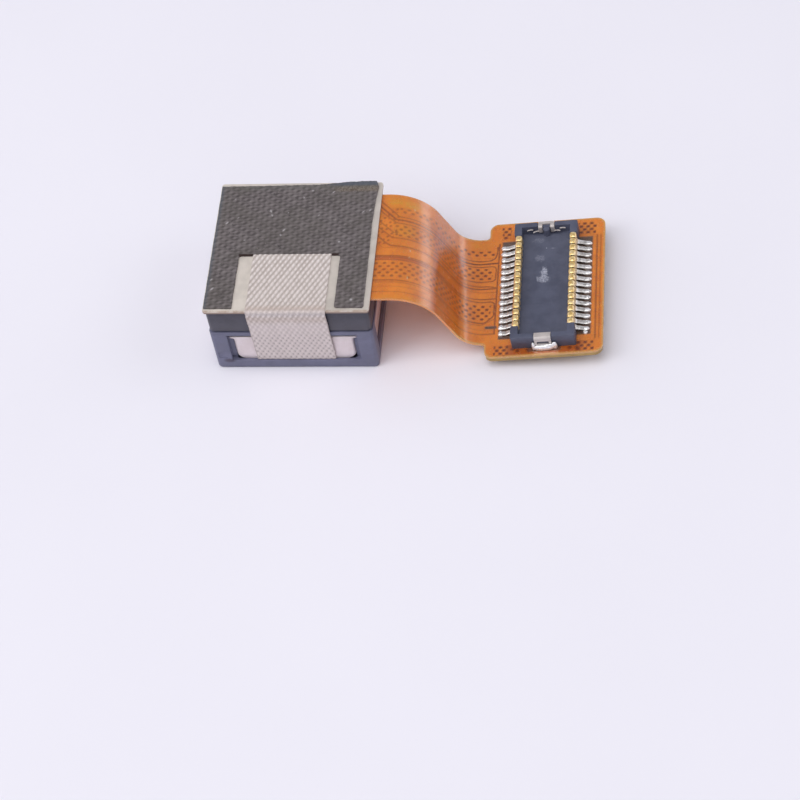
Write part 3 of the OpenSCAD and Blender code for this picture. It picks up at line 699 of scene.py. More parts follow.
def make_strap():
    look = Look("strap_cloth", metal=0.2, spec=0.5)
    x = look.axes()[0]
    along = look.attribute("along")
    wander = look.times(look.minus(look.noise(1.3, 2), 0.5), 0.35)
    down = look.add(look.over(along, STRAP_PITCH[1]), wander)
    over = look.over(x, STRAP_PITCH[0])
    lean, cross, crown = look.crossed(look.add(down, over), look.minus(down, over))
    front = look.ramp(along, 5.2, 6.0)
    ridge = look.times(lean, look.add(look.times(cross, 0.50), 0.50))
    both_ways = look.times(look.add(lean, cross), 0.42)
    ridge = look.add(
        look.times(ridge, look.ramp(along, *STRAP_TURN, 1, 0.15)),
        look.times(both_ways, look.ramp(along, *STRAP_TURN, 0, 0.85)))
    holes = look.times(look.minus(1.0, lean), look.minus(1.0, cross))
    fuzz = look.noise(13, 2, 0.7)
    level = look.add(
        look.times(ridge, 0.62), look.times(crown, 0.14), look.times(fuzz, 0.40))
    tone = look.mix(look.ramp(level, 0.20, 0.80), (0.46, 0.395, 0.362), (0.79, 0.72, 0.69))
    # Painted highlights: bright glints on the ribs' crossings, strongest at the back of the top and gone by 2.2
    # mm along
    sharp = look.times(look.ramp(look.times(lean, cross), 0.72, 0.98), look.ramp(along, 2.2, 0.2))
    plain = look.mix(look.ramp(fuzz, 0.35, 0.65), (0.47, 0.415, 0.41), (0.60, 0.54, 0.535))
    facing = look.mix(look.ramp(level, 0.22, 0.86), (0.59, 0.515, 0.495), (0.745, 0.66, 0.635))
    look.set(colour=look.layers(
        tone,
        # Painted highlights on the ribs' crossings
        (look.times(sharp, 0.75), (0.90, 0.86, 0.83)),
        (look.times(look.attribute("fold"), 0.85), plain),
        (look.ramp(along, 4.3, 4.9), facing),
        (look.times(look.times(look.ramp(holes, 0.55, 0.95), front), 0.60), (0.28, 0.235, 0.225)),
        # Painted shade: brownish bands where the strap folds over the plate's edge and just below it on the
        # front
        (look.attribute("tan"), (0.52, 0.40, 0.33)),
        # Painted shade along the strap's edges on the front
        (look.attribute("rim"), (0.34, 0.27, 0.25))))
    look.set(rough=look.ramp(level, 0.2, 0.9, 0.55, 0.38), normal=look.bump(level, 0.025, 0.7))

    edge = PLATE_HALF + 0.085
    top_z = PLATE_TOP + TAPE_T / 2
    path = bend_line(
        [(0.58, top_z), (edge - 0.13, top_z), (edge - 0.05, top_z - 0.03), (edge, top_z - 0.10), (edge, 4.58),
         (4.235, 3.43), (4.215, 2.93), (4.20, 2.66), (4.09, 1.5), (4.045, 0.64)], 0.16)
    path, along = resample(path, 0.01)
    normal = line_normals(path)
    length = along[-1]
    wide = STRAP_HALF + 0.03  # at its free end
    cut = np.array([(-STRAP_HALF, 0.0), (STRAP_HALF, 0.0), (wide, length), (-wide, length)])
    outline = frayed(cut, 0.04, 0.014, 0.277)

    def at(p, height):
        y, z, ny, nz = (np.interp(p[:, 1], along, values) for values in (*path.T, *normal.T))
        return np.column_stack([p[:, 0], -(y + ny * height), z + nz * height])

    def ribs(p):
        x, y = p.T
        threads = weave(x, y, *STRAP_PITCH)
        return 0.4 * threads + 0.6 * diagonal(-x, y, *STRAP_PITCH, smooth(y, *STRAP_TURN))

    plan, up, low, faces = sheet(
        np.arange(-2.14, 2.15, 0.030), np.arange(-0.05, length + 0.05, 0.035), outline,
        straight, lambda p: at(p, 0.018 + 0.024 * ribs(p)), lambda p: at(p, -0.044))
    down = plan[:, 1]
    fold = np.exp(-((down - STRAP_FOLD) / 0.20) ** 2)
    # Painted shade at the fold over the plate's edge and on the front just below it
    tan = 0.45 * np.exp(-((down - STRAP_FOLD + 0.20) / 0.16) ** 2) + 0.35 * window(down, 3.9, 4.2, 4.3, 4.8)
    side, _ = to_line(plan, outline, closed=True)
    # Painted shade along the strap's edges, from the top of the front down
    rim = 0.5 * (1 - smooth(side, 0.01, 0.07)) * smooth(down, 3.9, 4.6)
    piece(
        "ground_strap_cloth", np.vstack([up, low]), faces, look, "silver_cloth", stands_for="ground_strap",
        smooth=None, attributes={"along": both_sides(down), "fold": both_sides(fold), "tan": both_sides(tan),
                                 "rim": both_sides(rim)})


make_tape()
make_strap()


# ---------------------------------------------------------------- flexible circuit

FOLD = 60  # steps in each bend


def profile(depth, reach=7.2):
    """(arc length at the upper side, along, height) of the film's line at a depth below its upper side."""
    rows = [(-9.2, BEND_X - 9.2, FILM_TOP - depth)]
    for k in range(FOLD + 1):
        a = FALL * k / FOLD
        r = BEND_R - depth
        rows.append((BEND_R * a, BEND_X + r * math.sin(a), FILM_TOP - BEND_R + r * math.cos(a)))
    for k in range(FOLD + 1):
        turned = (FALL + TILT) * k / FOLD
        a = FALL - turned
        r = RISE_R + depth
        rows.append((S_RISE + RISE_R * turned, rise_mid[0] - r * math.sin(a), rise_mid[1] - r * math.cos(a)))
    _, x, z = rows[-1]
    rows.append((S_PAD + reach, x + reach * math.cos(TILT), z + reach * math.sin(TILT)))
    return np.array(rows)


FILM_OVER = profile(0)
FILM_UNDER = profile(FILM_T)


def film_along(plan):
    return plan[:, 0] * math.cos(SKEW) + plan[:, 1] * math.sin(SKEW)


def art_place(plan):
    """(u, y): arc length down the film, measured straight across the tail, and distance across it."""
    s = np.interp(film_along(plan), FILM_OVER[:, 1], FILM_OVER[:, 0])
    return np.column_stack([s - plan[:, 1] * math.sin(SKEW), plan[:, 1]])


HEAD_HALF, HEAD_DEEP, HEAD_CORNER = 4.08, 4.05, 0.25  # the part of the film under the plate


def film_outline():
    head = round_outline(HEAD_HALF + 0.02, HEAD_DEEP, HEAD_CORNER) + (-0.02, 0)
    per_corner = len(head) // 4
    pad = round_outline(*PAD_HALF, PAD_CORNER, 8)
    c, s = math.cos(TURN), math.sin(TURN)
    pad = pad @ np.array([[c, s], [-s, c]]) + PAD_AT
    left = PAD_AT[0] - PAD_HALF[0]
    rows = []
    for side in (1, -1):
        y = TAIL_Y + side * TAIL_HALF
        x = left - (y - PAD_AT[1]) * math.tan(TURN)
        arc = [(x - NECK_R + NECK_R * math.sin(a), y + side * (NECK_R - NECK_R * math.cos(a)))
               for a in np.linspace(0, math.pi / 2 - TURN, 7)]
        rows.append([(HEAD_HALF, y)] + arc)
    upper, lower = rows
    n = len(pad) // 4
    corners = [pad[k * n:(k + 1) * n] for k in range(4)]  # right back, left back, left front, right front
    side = HEAD_HALF - HEAD_CORNER
    return np.vstack([
        head[per_corner:3 * per_corner], [(side, -HEAD_DEEP)], [(HEAD_HALF, -HEAD_DEEP + HEAD_CORNER)], lower,
        corners[2], corners[3], corners[0], corners[1], upper[::-1], [(HEAD_HALF, HEAD_DEEP - HEAD_CORNER)],
        [(side, HEAD_DEEP)],
    ])


MESH_PITCH, MESH_ROW = 0.43, 0.205


def art_lines():
    """Gaps between traces: (points, half width, strength)."""
    return [
        ([(-0.75, 3.15), (-0.25, 2.65), (0.35, 2.06), (2.3, 2.06), (5.1, 2.05), (6.5, 2.10), (6.75, 2.25),
          (6.84, 2.6), (6.84, 3.0)], 0.034, 0.85),
        ([(-0.75, 2.8), (-0.1, 2.15), (0.2, 1.86), (2.3, 1.83), (5.0, 1.84), (6.9, 1.93)], 0.046, 1.0),
        ([(-0.75, 2.55), (-0.2, 2.0), (0.25, 1.64), (2.3, 1.63), (5.0, 1.65), (6.68, 1.73), (6.83, 1.6),
          (6.83, 0.86), (6.70, 0.73), (5.0, 0.66), (2.3, 0.64), (0.1, 0.64), (-0.75, 1.42)], 0.036, 0.75),
        ([(-0.75, 1.85), (-0.1, 1.2), (0.12, 1.0)], 0.032, 0.8),
        ([(-0.75, 0.85), (-0.2, 0.30), (0.05, 0.12), (2.3, 0.12), (5.0, 0.18), (6.9, 0.26)], 0.046, 0.8),
        ([(2.3, 0.40), (5.0, 0.38), (6.5, 0.40), (6.9, 0.32)], 0.034, 0.75),
        ([(-0.75, 0.40), (-0.35, 0.0), (2.3, 0.0), (5.0, 0.00), (6.9, 0.02)], 0.026, 0.45),
        ([(-0.75, -0.52), (2.3, -0.52), (5.0, -0.48), (6.9, -0.42)], 0.036, 0.8),
        ([(-0.75, -0.62), (2.3, -0.63), (5.0, -0.64), (6.75, -0.62), (6.88, -0.75), (6.88, -1.55),
          (6.45, -1.98), (5.0, -2.02), (2.3, -2.1), (-0.75, -2.12)], 0.038, 0.8),
        ([(-0.75, -0.78), (2.3, -0.78), (4.2, -0.76)], 0.030, 0.6),
        ([(-0.75, -2.24), (2.3, -2.24), (5.0, -2.16), (6.3, -2.12), (6.95, -1.72)], 0.030, 0.5),
        ([(-0.75, -2.52), (2.3, -2.50), (5.0, -2.45), (6.4, -2.44)], 0.026, 0.35),
        ([(-0.75, -2.86), (2.3, -2.85), (5.0, -2.74), (7.0, -2.70)], 0.034, 0.6),
        ([(0.2, 2.36), (2.3, 2.33), (6.6, 2.26)], 0.022, 0.25),
        ([(6.93, 3.2), (6.95, 0.3), (6.98, -2.7)], 0.040, 0.8),
    ]


def lattice(p, row, pitch, size):
    """1 in the dark openings of a ground mesh: dots in rows, with alternate rows offset."""
    x, y = p.T
    r = y / row
    j = np.round(r)
    i = x / pitch - 0.5 * (j % 2)
    dx = (i - np.round(i)) * pitch
    dy = (r - j) * row
    return 1 - smooth(np.hypot(dx / size[0], dy / size[1]), 0.55, 1.25)


def ground_mesh(p):
    """Ground-mesh openings in the areas of the tail that have them."""
    u, y = p.T
    v = y - 0.016 * (u - 1)
    q = np.column_stack([u + 0.165, v])
    size = (0.105, 0.080)
    mark = np.zeros(len(p))
    areas = [
        (-0.9, 6.75, -1.93, -0.88, -1.0, 0.0),
        (0.10, 6.70, 0.78, 1.50, 0.83, 0.2),
        (0.30, 6.75, 2.34, 2.68, 2.42, 0.1),
    ]
    for u0, u1, v0, v1, base, shift in areas:
        hit = lattice(q + (shift, -base), MESH_ROW, MESH_PITCH, size)
        mark = np.maximum(mark, hit * window(u, u0, u0 + 0.1, u1 - 0.1, u1) * (v > v0) * (v < v1))
    # Between the diagonal traces at the head
    along = (u + v) / math.sqrt(2)
    off = (v - u) / math.sqrt(2)
    hit = lattice(np.column_stack([along, off]), 0.21, 0.28, (0.085, 0.075))
    lanes = (off > 0.9) * (off < 1.35) + (off > 0.25) * (off < 0.72) + (off > 1.5) * (off < 1.75)
    return np.maximum(mark, 0.9 * hit * (u < 0.35) * (u > -0.8) * (v > 0.25) * lanes)


def region(p, u0, u1, y0, y1, soft=0.3):
    """1 inside a rectangle of the artwork, fading out at its border."""
    u, y = p.T
    return (window(u, u0 - soft, u0 + soft, u1 - soft, u1 + soft)
            * window(y, y0 - soft, y0 + soft, y1 - soft, y1 + soft))


def on_pad(plan):
    """Points of the film in the plug's own plan frame."""
    c, s = math.cos(TURN), math.sin(TURN)
    return (plan - PAD_AT) @ np.array([[c, -s], [s, c]]) - PLUG_AT


def film_art(plan):
    """Strength of the gaps between traces, and of the openings in the cover, at points in plan."""
    p = art_place(plan)
    u, y = p.T
    gap = np.zeros(len(p))
    for points, half, strength in art_lines():
        line = bend_line(points, 0.12) if len(points) > 2 else np.array(points)
        d, _ = to_line(p, line)
        gap = np.maximum(gap, strength * (1 - smooth(d, half * 0.4, half * 1.5)))
    fade = 0.60 + 0.25 * smooth(u, 2.3, 2.7) + 0.10 * smooth(u, 4.6, 5.4)
    gap = np.maximum(gap * (0.72 + 0.28 * smooth(u, 2.3, 2.7)), fade * ground_mesh(p))
    q = on_pad(plan)
    px, py = q.T
    past = smooth(u, 6.98, 7.06)
    row, pitch = 0.20, 0.36
    hatch = lattice(q + (0.08, 0.02), row, pitch, (0.115, 0.090))
    slant = [(px + 0.08) / pitch + side * (py + 0.02) / (2 * row) for side in (1, -1)]
    wires = np.maximum(*[1 - smooth(np.abs(v - np.round(v)), 0.04, 0.22) for v in slant])
    hatch = np.maximum(hatch, 0.35 * wires)
    corner = np.where(
        px > 0, (px > 1.60) * (px < 2.50), (px < -1.85 - 0.10 * (py > 0)) * (px > -2.97)) * (
        np.where(py > 0, (py > 3.46) * (py < 4.28), (py < -3.50) * (py > -4.16)))
    gap = np.where(past > 0.5, hatch * corner, gap)
    # Printed dots on the pad in front of the plug, drawn dark with painted shade from the plug
    for x, y_at in ((-1.35, -3.90), (-0.82, -3.88), (1.30, -3.90), (1.66, -3.92), (-1.62, -3.78)):
        gap = np.maximum(gap, 0.95 * (1 - smooth(np.hypot(px - x, (py - y_at) * 1.3), 0.06, 0.17)))
    # Openings in the cover over the contacts, and around the clips' feet
    reach = np.where(px > 0, 2.31, 2.36)
    opening = (smooth(np.abs(px), 1.30, 1.36) * (1 - smooth(np.abs(px), reach, reach + 0.07))
               * (1 - smooth(py, 3.26, 3.34)) * smooth(py, -3.16, -3.06))
    opening = np.maximum(opening, 0.8 * (1 - smooth(np.abs(px), 0.80, 0.90)) * smooth(np.abs(py), 3.5, 3.6)
                         * (1 - smooth(np.abs(py), 3.98, 4.06)))
    wedge, _ = to_line(p, [(6.55, -2.28), (7.0, -2.28)])
    opening = np.maximum(opening, 1 - smooth(wedge, 0.05, 0.13))
    ring = 0.8 * np.exp(-((px - 2.57) / 0.045) ** 2) + 0.6 * np.exp(-((px - 2.76) / 0.04) ** 2)
    ring = ring * (1 - smooth(np.abs(py), 3.3, 3.5))
    return np.maximum(gap, ring * past), opening


def film_tints(plan):
    """Colour shifts of the film and painted shade: (yellow, red, painted shadow in front of the plug)."""
    p = art_place(plan)
    u, y = p.T
    yellow = 0.75 * region(p, -0.3, 1.5, 2.75, 3.25) + 0.40 * region(p, 0.2, 1.3, 0.8, 1.5)
    yellow += 0.60 * region(p, 4.4, 5.1, -3.3, -2.2, 0.45) + 0.35 * region(p, 5.3, 6.5, 2.9, 3.3)
    yellow += 0.30 * region(p, -0.6, 2.2, -3.3, -3.1, 0.15)
    red = 0.65 * region(p, -1.0, 2.2, -0.82, -0.56, 0.10) + 0.3 * region(p, 2.0, 3.4, 1.8, 2.4)
    px, py = on_pad(plan).T
    # Painted shadow: darker on the pad in front of the plug
    dark = (1 - smooth(np.abs(px), 1.8, 2.1)) * smooth(-py, 3.45, 3.55) * (u > 6.5)
    return np.clip(yellow, 0, 1), np.clip(red, 0, 1), dark


def make_film():
    look = Look("film", spec=0.5, ior=2.0, under=0.15, under_radius=(1.0, 0.28, 0.02), under_scale=0.0002)
    gap = look.attribute("gap")
    bare = look.attribute("opening")
    patch = look.noise(0.9, 4, 0.55)
    cloud = look.noise(3.4, 3, 0.65)
    fine = look.noise(15, 3, 0.6)
    tone = look.layers(
        look.mix(look.ramp(patch, 0.3, 0.7), (0.63, 0.168, 0.008), (0.78, 0.232, 0.016)),
        (look.ramp(cloud, 0.42, 0.70, 0, 0.45), (0.53, 0.135, 0.006)),
        (look.ramp(fine, 0.50, 0.75, 0, 0.35), (0.84, 0.30, 0.030)),
        (look.attribute("yellow"),
         look.mix(look.ramp(cloud, 0.38, 0.62), (0.70, 0.26, 0.010), (0.64, 0.30, 0.014))),
        (look.attribute("red"), (0.44, 0.095, 0.022)),
        # Painted shadow in front of the plug
        (look.attribute("dim"), (0.42, 0.095, 0.005)))
    crease = look.times(look.attribute("crease"), look.ramp(look.noise(5, 2, 0.8), 0.60, 0.68))
    look.set(colour=look.layers(
        tone,
        # Painted shade and painted reflection of the orange pad: deeper orange on the steep slope
        (look.attribute("slope_shade"), look.mix(0.86, tone, (0.50, 0.095, 0.002))),
        (look.attribute("edge"), (0.60, 0.31, 0.085)),
        (bare, look.mix(look.ramp(fine, 0.4, 0.6), (0.045, 0.018, 0.008), (0.12, 0.052, 0.024))),
        (gap, (0.150, 0.026, 0.002)),
        (crease, (0.80, 0.55, 0.38))))
    # Painted light: an orange glow on the tail's underside stands for light that falls on the tail from above
    # and comes through it
    glow = look.mix(look.attribute("below"), (0.0, 0.0, 0.0), (0.165, 0.045, 0.001))
    look.set(glow=glow, glow_power=1.0)
    look.set(
        rough=look.add(look.ramp(cloud, 0.3, 0.7, 0.20, 0.29), look.times(bare, 0.25)),
        normal=look.bump(look.add(fine, look.times(cloud, 2.0)), 0.0018))

    outline = film_outline()
    s_grid = np.r_[np.arange(-9.1, -0.9, 0.42), np.arange(-0.9, 7.1, 0.040), np.arange(7.1, 13.2, 0.055)]
    y_grid = np.r_[np.arange(-4.45, -3.4, 0.055), np.arange(-3.4, 3.6, 0.042), np.arange(3.6, 4.8, 0.055)]

    def plan_of(s, y):
        along = np.interp(s, FILM_OVER[:, 0], FILM_OVER[:, 1])
        return np.column_stack([(along - y * math.sin(SKEW)) / math.cos(SKEW), y])

    def height(plan, line):
        return np.interp(film_along(plan), line[:, 1], line[:, 2])

    def top(plan):
        gap, bare = film_art(plan)
        return np.column_stack([plan, height(plan, FILM_OVER) - 0.005 * gap - 0.012 * bare])

    plan, up, low, faces = sheet(
        s_grid, y_grid, outline, plan_of, top, lambda p: np.column_stack([p, height(p, FILM_UNDER)]))
    gap, bare = film_art(plan)
    yellow, red, dim = film_tints(plan)
    u, y = art_place(plan).T
    rim, _ = to_line(plan, outline, closed=True)
    rim = (1 - smooth(rim, 0.03, 0.12)) * (0.35 + 0.65 * smooth(u, 4.0, 5.0))
    rim = np.maximum(rim, smooth(on_pad(plan)[:, 0], 2.88, 2.94))
    below = window(u, -0.7, 0.3, 6.0, 6.8)
    # Painted shade and painted reflection of the pad on the steep slope
    slope_shade = 0.7 * window(u, 2.35, 2.55, 4.9, 5.3) * (1 - smooth(y, 1.6, 2.8))
    crease = np.exp(-((u - 1.07 - 0.02 * y) / 0.045) ** 2)
    gap = gap * (1 - smooth(rim, 0.3, 0.8))
    upper_only = {"opening": bare, "dim": dim, "crease": crease, "slope_shade": slope_shade}
    on_both = {"edge": rim, "yellow": yellow, "red": red}
    piece(
        "flex_film", np.vstack([up, low]), faces, look, "film", stands_for="flex_circuit", smooth=35,
        attributes={"gap": np.r_[gap, 0.35 * gap], "below": np.r_[0 * below, below],
                    **{key: both_sides(values, 0) for key, values in upper_only.items()},
                    **{key: both_sides(values) for key, values in on_both.items()}})


make_film()


# ---------------------------------------------------------------- plug: plastic, contacts, solder, clips

CONTACT_T = 0.07
RIGHT_TAIL_SHORTER = 0.13
SEAT = 0.005  # a bright part stands this far off the plastic below it


def contact_line(reach):
    """A contact's line from inside the cavity over the wall and out along its tail."""
    t = CONTACT_T / 2
    top = PLUG_H - 0.07 + t + SEAT
    inner, outer = WALL_IN + 0.025, WALL_OUT + t + SEAT
    wrap = [(inner, PLUG_H - 0.40), (inner, top), (outer, top), (outer, 0.34), (outer + 0.05, 0.24),
            (outer + 0.14, 0.19), (1.86, 0.14), (2.02, 0.07), (reach, 0.065)]
    return resample(bend_line(wrap, 0.10, 6), 0.030)[0]


def crowned(line, widths, thick, crown):
    """A strip with a crowned outer side."""
    across = 7

    def section(k):
        h, e, t = widths[k] / 2, thick * 0.3, thick / 2
        outer = [h * (1 - 2 * i / (across - 1)) for i in range(across)]
        return [(-h + e, -t), (h - e, -t), (h, -t + e)] + [
            (y, t - e * (abs(y) / h) ** 6 + crown[k] * (1 - (y / h) ** 4)) for y in outer] + [(-h, -t + e)]

    return sweep(line, section)


def make_contacts():
    look = Look("contact_metal", metal=0.9, spec=0.5)
    tin = look.attribute("tin")
    fine = look.noise(16, 3, 0.6)
    patch = look.noise(5.5, 3, 0.6)
    gold = look.mix(look.ramp(patch, 0.36, 0.62), (0.98, 0.80, 0.46), (0.80, 0.56, 0.21))
    grey = look.mix(look.ramp(patch, 0.35, 0.65), (0.86, 0.85, 0.84), (0.52, 0.50, 0.48))
    look.set(
        colour=look.mix(tin, gold, grey),
        rough=look.ramp(fine, 0.3, 0.7, 0.40, 0.54),
        normal=look.bump(fine, 0.005))

    solder = Look("solder", metal=0.75, spec=0.5)
    lump = solder.noise(6, 4, 0.6)
    solder.set(
        colour=solder.mix(solder.ramp(lump, 0.35, 0.65), (0.97, 0.97, 0.98), (0.80, 0.79, 0.79)),
        rough=solder.ramp(lump, 0.3, 0.7, 0.26, 0.42),
        normal=solder.bump(lump, 0.008))

    for side, name in ((-1, "left"), (1, "right")):
        reach = TAIL_REACH if side < 0 else TAIL_REACH - RIGHT_TAIL_SHORTER
        ends = reach - 0.10
        line = contact_line(reach)
        x = line[:, 0]
        widths = np.where(x < 1.62, 0.345, 0.235)
        widths = np.convolve(np.pad(widths, 3, mode="edge"), np.ones(7) / 7, mode="valid")
        top = (line[:, 1] > PLUG_H - 0.12) & (x < 1.56)
        crown = np.convolve(np.pad(np.where(top, 0.016, 0.012), 4, mode="edge"), np.ones(9) / 9, mode="valid")
        parts, tins, beads = [], [], []
        for k in range(CONTACTS):
            y = (k - (CONTACTS - 1) / 2) * PITCH
            shift = rng.normal(0, 0.006, 2)
            verts, faces = crowned(line, widths * (1 + rng.normal(0, 0.015)), CONTACT_T, crown)
            verts = verts * (1, side, 1) + (0, y + shift[0], 0)
            if side < 0:
                verts = verts * (-1, 1, 1)
            tins.append(np.repeat(smooth(x, 1.50, 1.60), len(verts) // len(line)))
            parts.append((verts, faces))
            size = (0.18 + rng.normal(0, 0.012), 0.150 + rng.normal(0, 0.010), 0.125 + rng.normal(0, 0.010))
            power = 0.8
            if side > 0:
                size, power = (size[0] + 0.04, size[1] - 0.035, size[2] - 0.02), 0.5
            tip = (side * (ends + rng.normal(0, 0.012)), y + rng.normal(0, 0.01), 0.02)
            foot = (side * 2.0, y, 0.015)
            for verts, faces in (
                blob(tip, size, 10, 18, power, 0.05, seed=31 * k + side + 1),
                blob(foot, (0.07, 0.10, 0.04), 6, 12, 0.8, 0.05, seed=77 * k + side + 1),
            ):
                verts[:, 2] = np.maximum(verts[:, 2], -0.004)
                beads.append((verts, faces))
        if side > 0:
            beads.append(blob((2.08, -3.02, 0.03), (0.14, 0.11, 0.09), 8, 14, 0.8, 0.05, seed=5))
        piece(f"contact_row_{name}", *joined(parts), look, "gold", stands_for=f"contacts_{name}",
              place=PAD_FRAME, attributes={"tin": np.concatenate(tins)})
        piece(f"solder_row_{name}", *joined(beads), solder, "solder", stands_for=f"solder_{name}", smooth=60,
              place=PAD_FRAME)
    return solder


def make_clip_solder(look):
    """Solder that climbs both sides of each clip and runs along its foot."""
    front = PLUG_HALF_LEN + 0.10
    parts = []
    for turn in (1, -1):
        lumps = [
            ((0.0, -front - 0.03, 0.12), (0.52, 0.125, 0.20), 0.55),
            ((-0.51, -front + 0.01, 0.22), (0.095, 0.10, 0.30), 0.75),
            ((0.57, -front + 0.01, 0.20), (0.14, 0.10, 0.27), 0.75),
            ((0.30, -front - 0.02, 0.18), (0.30, 0.09, 0.19), 0.7),
        ]
        for k, (centre, size, power) in enumerate(lumps):
            verts, faces = blob(centre, size, 12, 22, power, 0.03, seed=11 * k + turn + 1)
            verts[:, 2] = np.maximum(verts[:, 2], 0.0)
            verts[:, 1] = np.minimum(verts[:, 1], -PLUG_HALF_LEN - 0.012)
            parts.append((verts * (turn, turn, 1), faces))
    piece("clip_solder_collars", *joined(parts), look, "solder", stands_for="clip_solder", smooth=60,
          place=PAD_FRAME)


def make_plug():
    look = plastic("plug_plastic", (0.072, 0.080, 0.126), 0.44, 0.004, 0.10)
    # Soft smudges, a speck and a scratch on the cavity's floor: (x, y, half width, half length, strength)
    tone = look.tone()
    wisp, grain = look.noise(7, 3, 0.7), look.noise(17, 3, 0.7, stretch=(1.0, 0.7, 1.0))
    hair = look.ramp(grain, 0.36, 0.60, 0.12, 1.0)
    for x, y, wide, long, strength in (
        (-0.10, 0.82, 0.32, 0.66, 0.80), (-0.14, 0.42, 0.56, 0.40, 0.75), (-0.35, 1.80, 0.45, 0.40, 0.22),
        (-0.02, 2.45, 0.05, 0.06, 0.9), (-0.45, 3.00, 0.55, 0.30, 0.16), (0.35, 2.42, 0.24, 0.06, 0.22),
    ):
        place = PAD_FRAME @ Vector((x, y, PLUG_H - 0.55))
        near = look.ramp(look.spot(tuple(place), (wide, long, 0.2)), 1.0, 0.0)
        ragged = look.add(near, look.times(wisp, 1.7))
        mask = look.times(look.ramp(ragged, 1.02, 1.60), strength)
        mask = look.times(mask, look.ramp(near, 0.0, 0.3))
        tone = look.mix(look.times(mask, hair), tone, (0.46, 0.48, 0.58))
    # Painted shade low on the plug's front face, tinted by a painted reflection of the orange film
    low = look.ramp(look.axes()[2], PAD_Z + 0.62, PAD_Z + 0.22, 0, 0.75)
    front = look.ramp(look.axes()[1], -3.6, -3.85)
    tone = look.mix(look.times(low, front), tone, (0.050, 0.030, 0.042))
    look.set(colour=tone)
    eased_copy("connector_body", look, 0.022)


solder_look = make_contacts()
make_plug()

clip_look = metal("clip_metal", (0.60, 0.555, 0.535), 0.46, brush=(1, 0.2, 1))
clip_look.set(metal=0.45)
eased_copy("front_clip", clip_look, 0.012)


def make_rear_clip():
    """Two prongs over the end wall, joined by a bridge, and four short springs beside the boss."""
    t = CONTACT_T
    top = PLUG_H - 0.07 + t / 2 + SEAT
    inner, outer = PLUG_HALF_LEN - 0.32, PLUG_HALF_LEN + 0.04
    parts = []
    for x in (-0.315, 0.315):
        line = bend_line([(inner, PLUG_H - 0.42), (inner, top), (outer - 0.10, top)], 0.07)
        verts, faces = strip(line, 0.23, t)
        parts.append((verts[:, [1, 0, 2]] + (x, 0, 0), [f[::-1] for f in faces]))
    line = bend_line([(outer - 0.17, top), (outer, top), (outer, 0.065), (outer + 0.10, 0.065)], 0.07)
    verts, faces = strip(line, 0.86, t)
    parts.append((verts[:, [1, 0, 2]], [f[::-1] for f in faces]))
    springs = (
        (-0.56, 3.40, 0.56, 12), (0.56, 3.40, 0.56, -12), (-0.86, 3.44, 0.66, 4), (0.84, 3.46, 0.66, -4))
    for x, y, z, turn in springs:
        line = bend_line([(-0.15, -0.03), (-0.06, 0.0), (0.06, 0.01), (0.15, -0.02)], 0.05)
        verts, faces = strip(line, 0.075, 0.05)
        c, s = math.cos(math.radians(turn)), math.sin(math.radians(turn))
        parts.append((verts @ np.array([[c, s, 0], [-s, c, 0], [0, 0, 1]]) + (x, y, z), faces))
    piece("rear_clip_fork", *joined(parts), clip_look, "clip_steel", stands_for="rear_clip", smooth=35,
          place=PAD_FRAME)


make_rear_clip()
make_clip_solder(solder_look)


# ---------------------------------------------------------------- block: housings, can, plates

housing_look = plastic("housing_plastic", (0.146, 0.148, 0.228), 0.46, 0.003, 0.08)
base_look = plastic("base_plastic", (0.055, 0.052, 0.073), 0.40, 0.003, 0.12)
# Darker at the lower left corner of the front's left window
window_corner_dark = housing_look.ramp(housing_look.spot((-3.52, -4.2, 0.62), (0.42, 0.2, 0.24)), 1.0, 0.3, 0, 0.75)
housing_look.set(colour=housing_look.mix(window_corner_dark, housing_look.tone(), (0.050, 0.035, 0.062)))
eased_copy("front_housing", housing_look, 0.04)
eased_copy("sensor_base", base_look, 0.03)

CAN_W, CAN_D, CAN_LOW, CAN_TOP, CAN_SHEET = 8.06, 7.96, 0.30, 2.36, 0.12
CAN_HOLE = 2.90
LOBE, FLANGE = 3.10, 3.32  # half widths of the faces, and of the flange at the open end
DRAWN = 0.30  # radius of the edge between the faces and the closed end


def notched_line(half, face_half, face_x, face_y, corner, n=5, m=12):
    """A closed outline with four faces and a notch at each corner, always with as many points."""
    narrow = face_half - half
    points = []
    for turn in range(4):
        reach = (face_x, face_y)[turn % 2]
        beside = (face_y, face_x)[turn % 2]
        side = [(reach, y) for y in np.linspace(-face_half + corner, face_half - corner, m)]
        arc = [(reach - corner + corner * math.cos(a), face_half - corner + corner * math.sin(a))
               for a in np.linspace(0, math.pi / 2, n)[1:]]
        back = [(half + (reach - corner - half) * t, half + narrow * t) for t in (0.66, 0.33, 0.0)]
        out = [(half + narrow * t, half + (beside - corner - half) * t) for t in (0.33, 0.66)]
        curl = [(face_half - corner + corner * math.cos(a), beside - corner + corner * math.sin(a))
                for a in np.linspace(0, math.pi / 2, n)[:-1]]
        c, s = ((1, 0), (0, 1), (-1, 0), (0, -1))[turn]
        points += [(x * c - y * s, x * s + y * c) for x, y in side + arc + back + out + curl]
    return np.array(points)


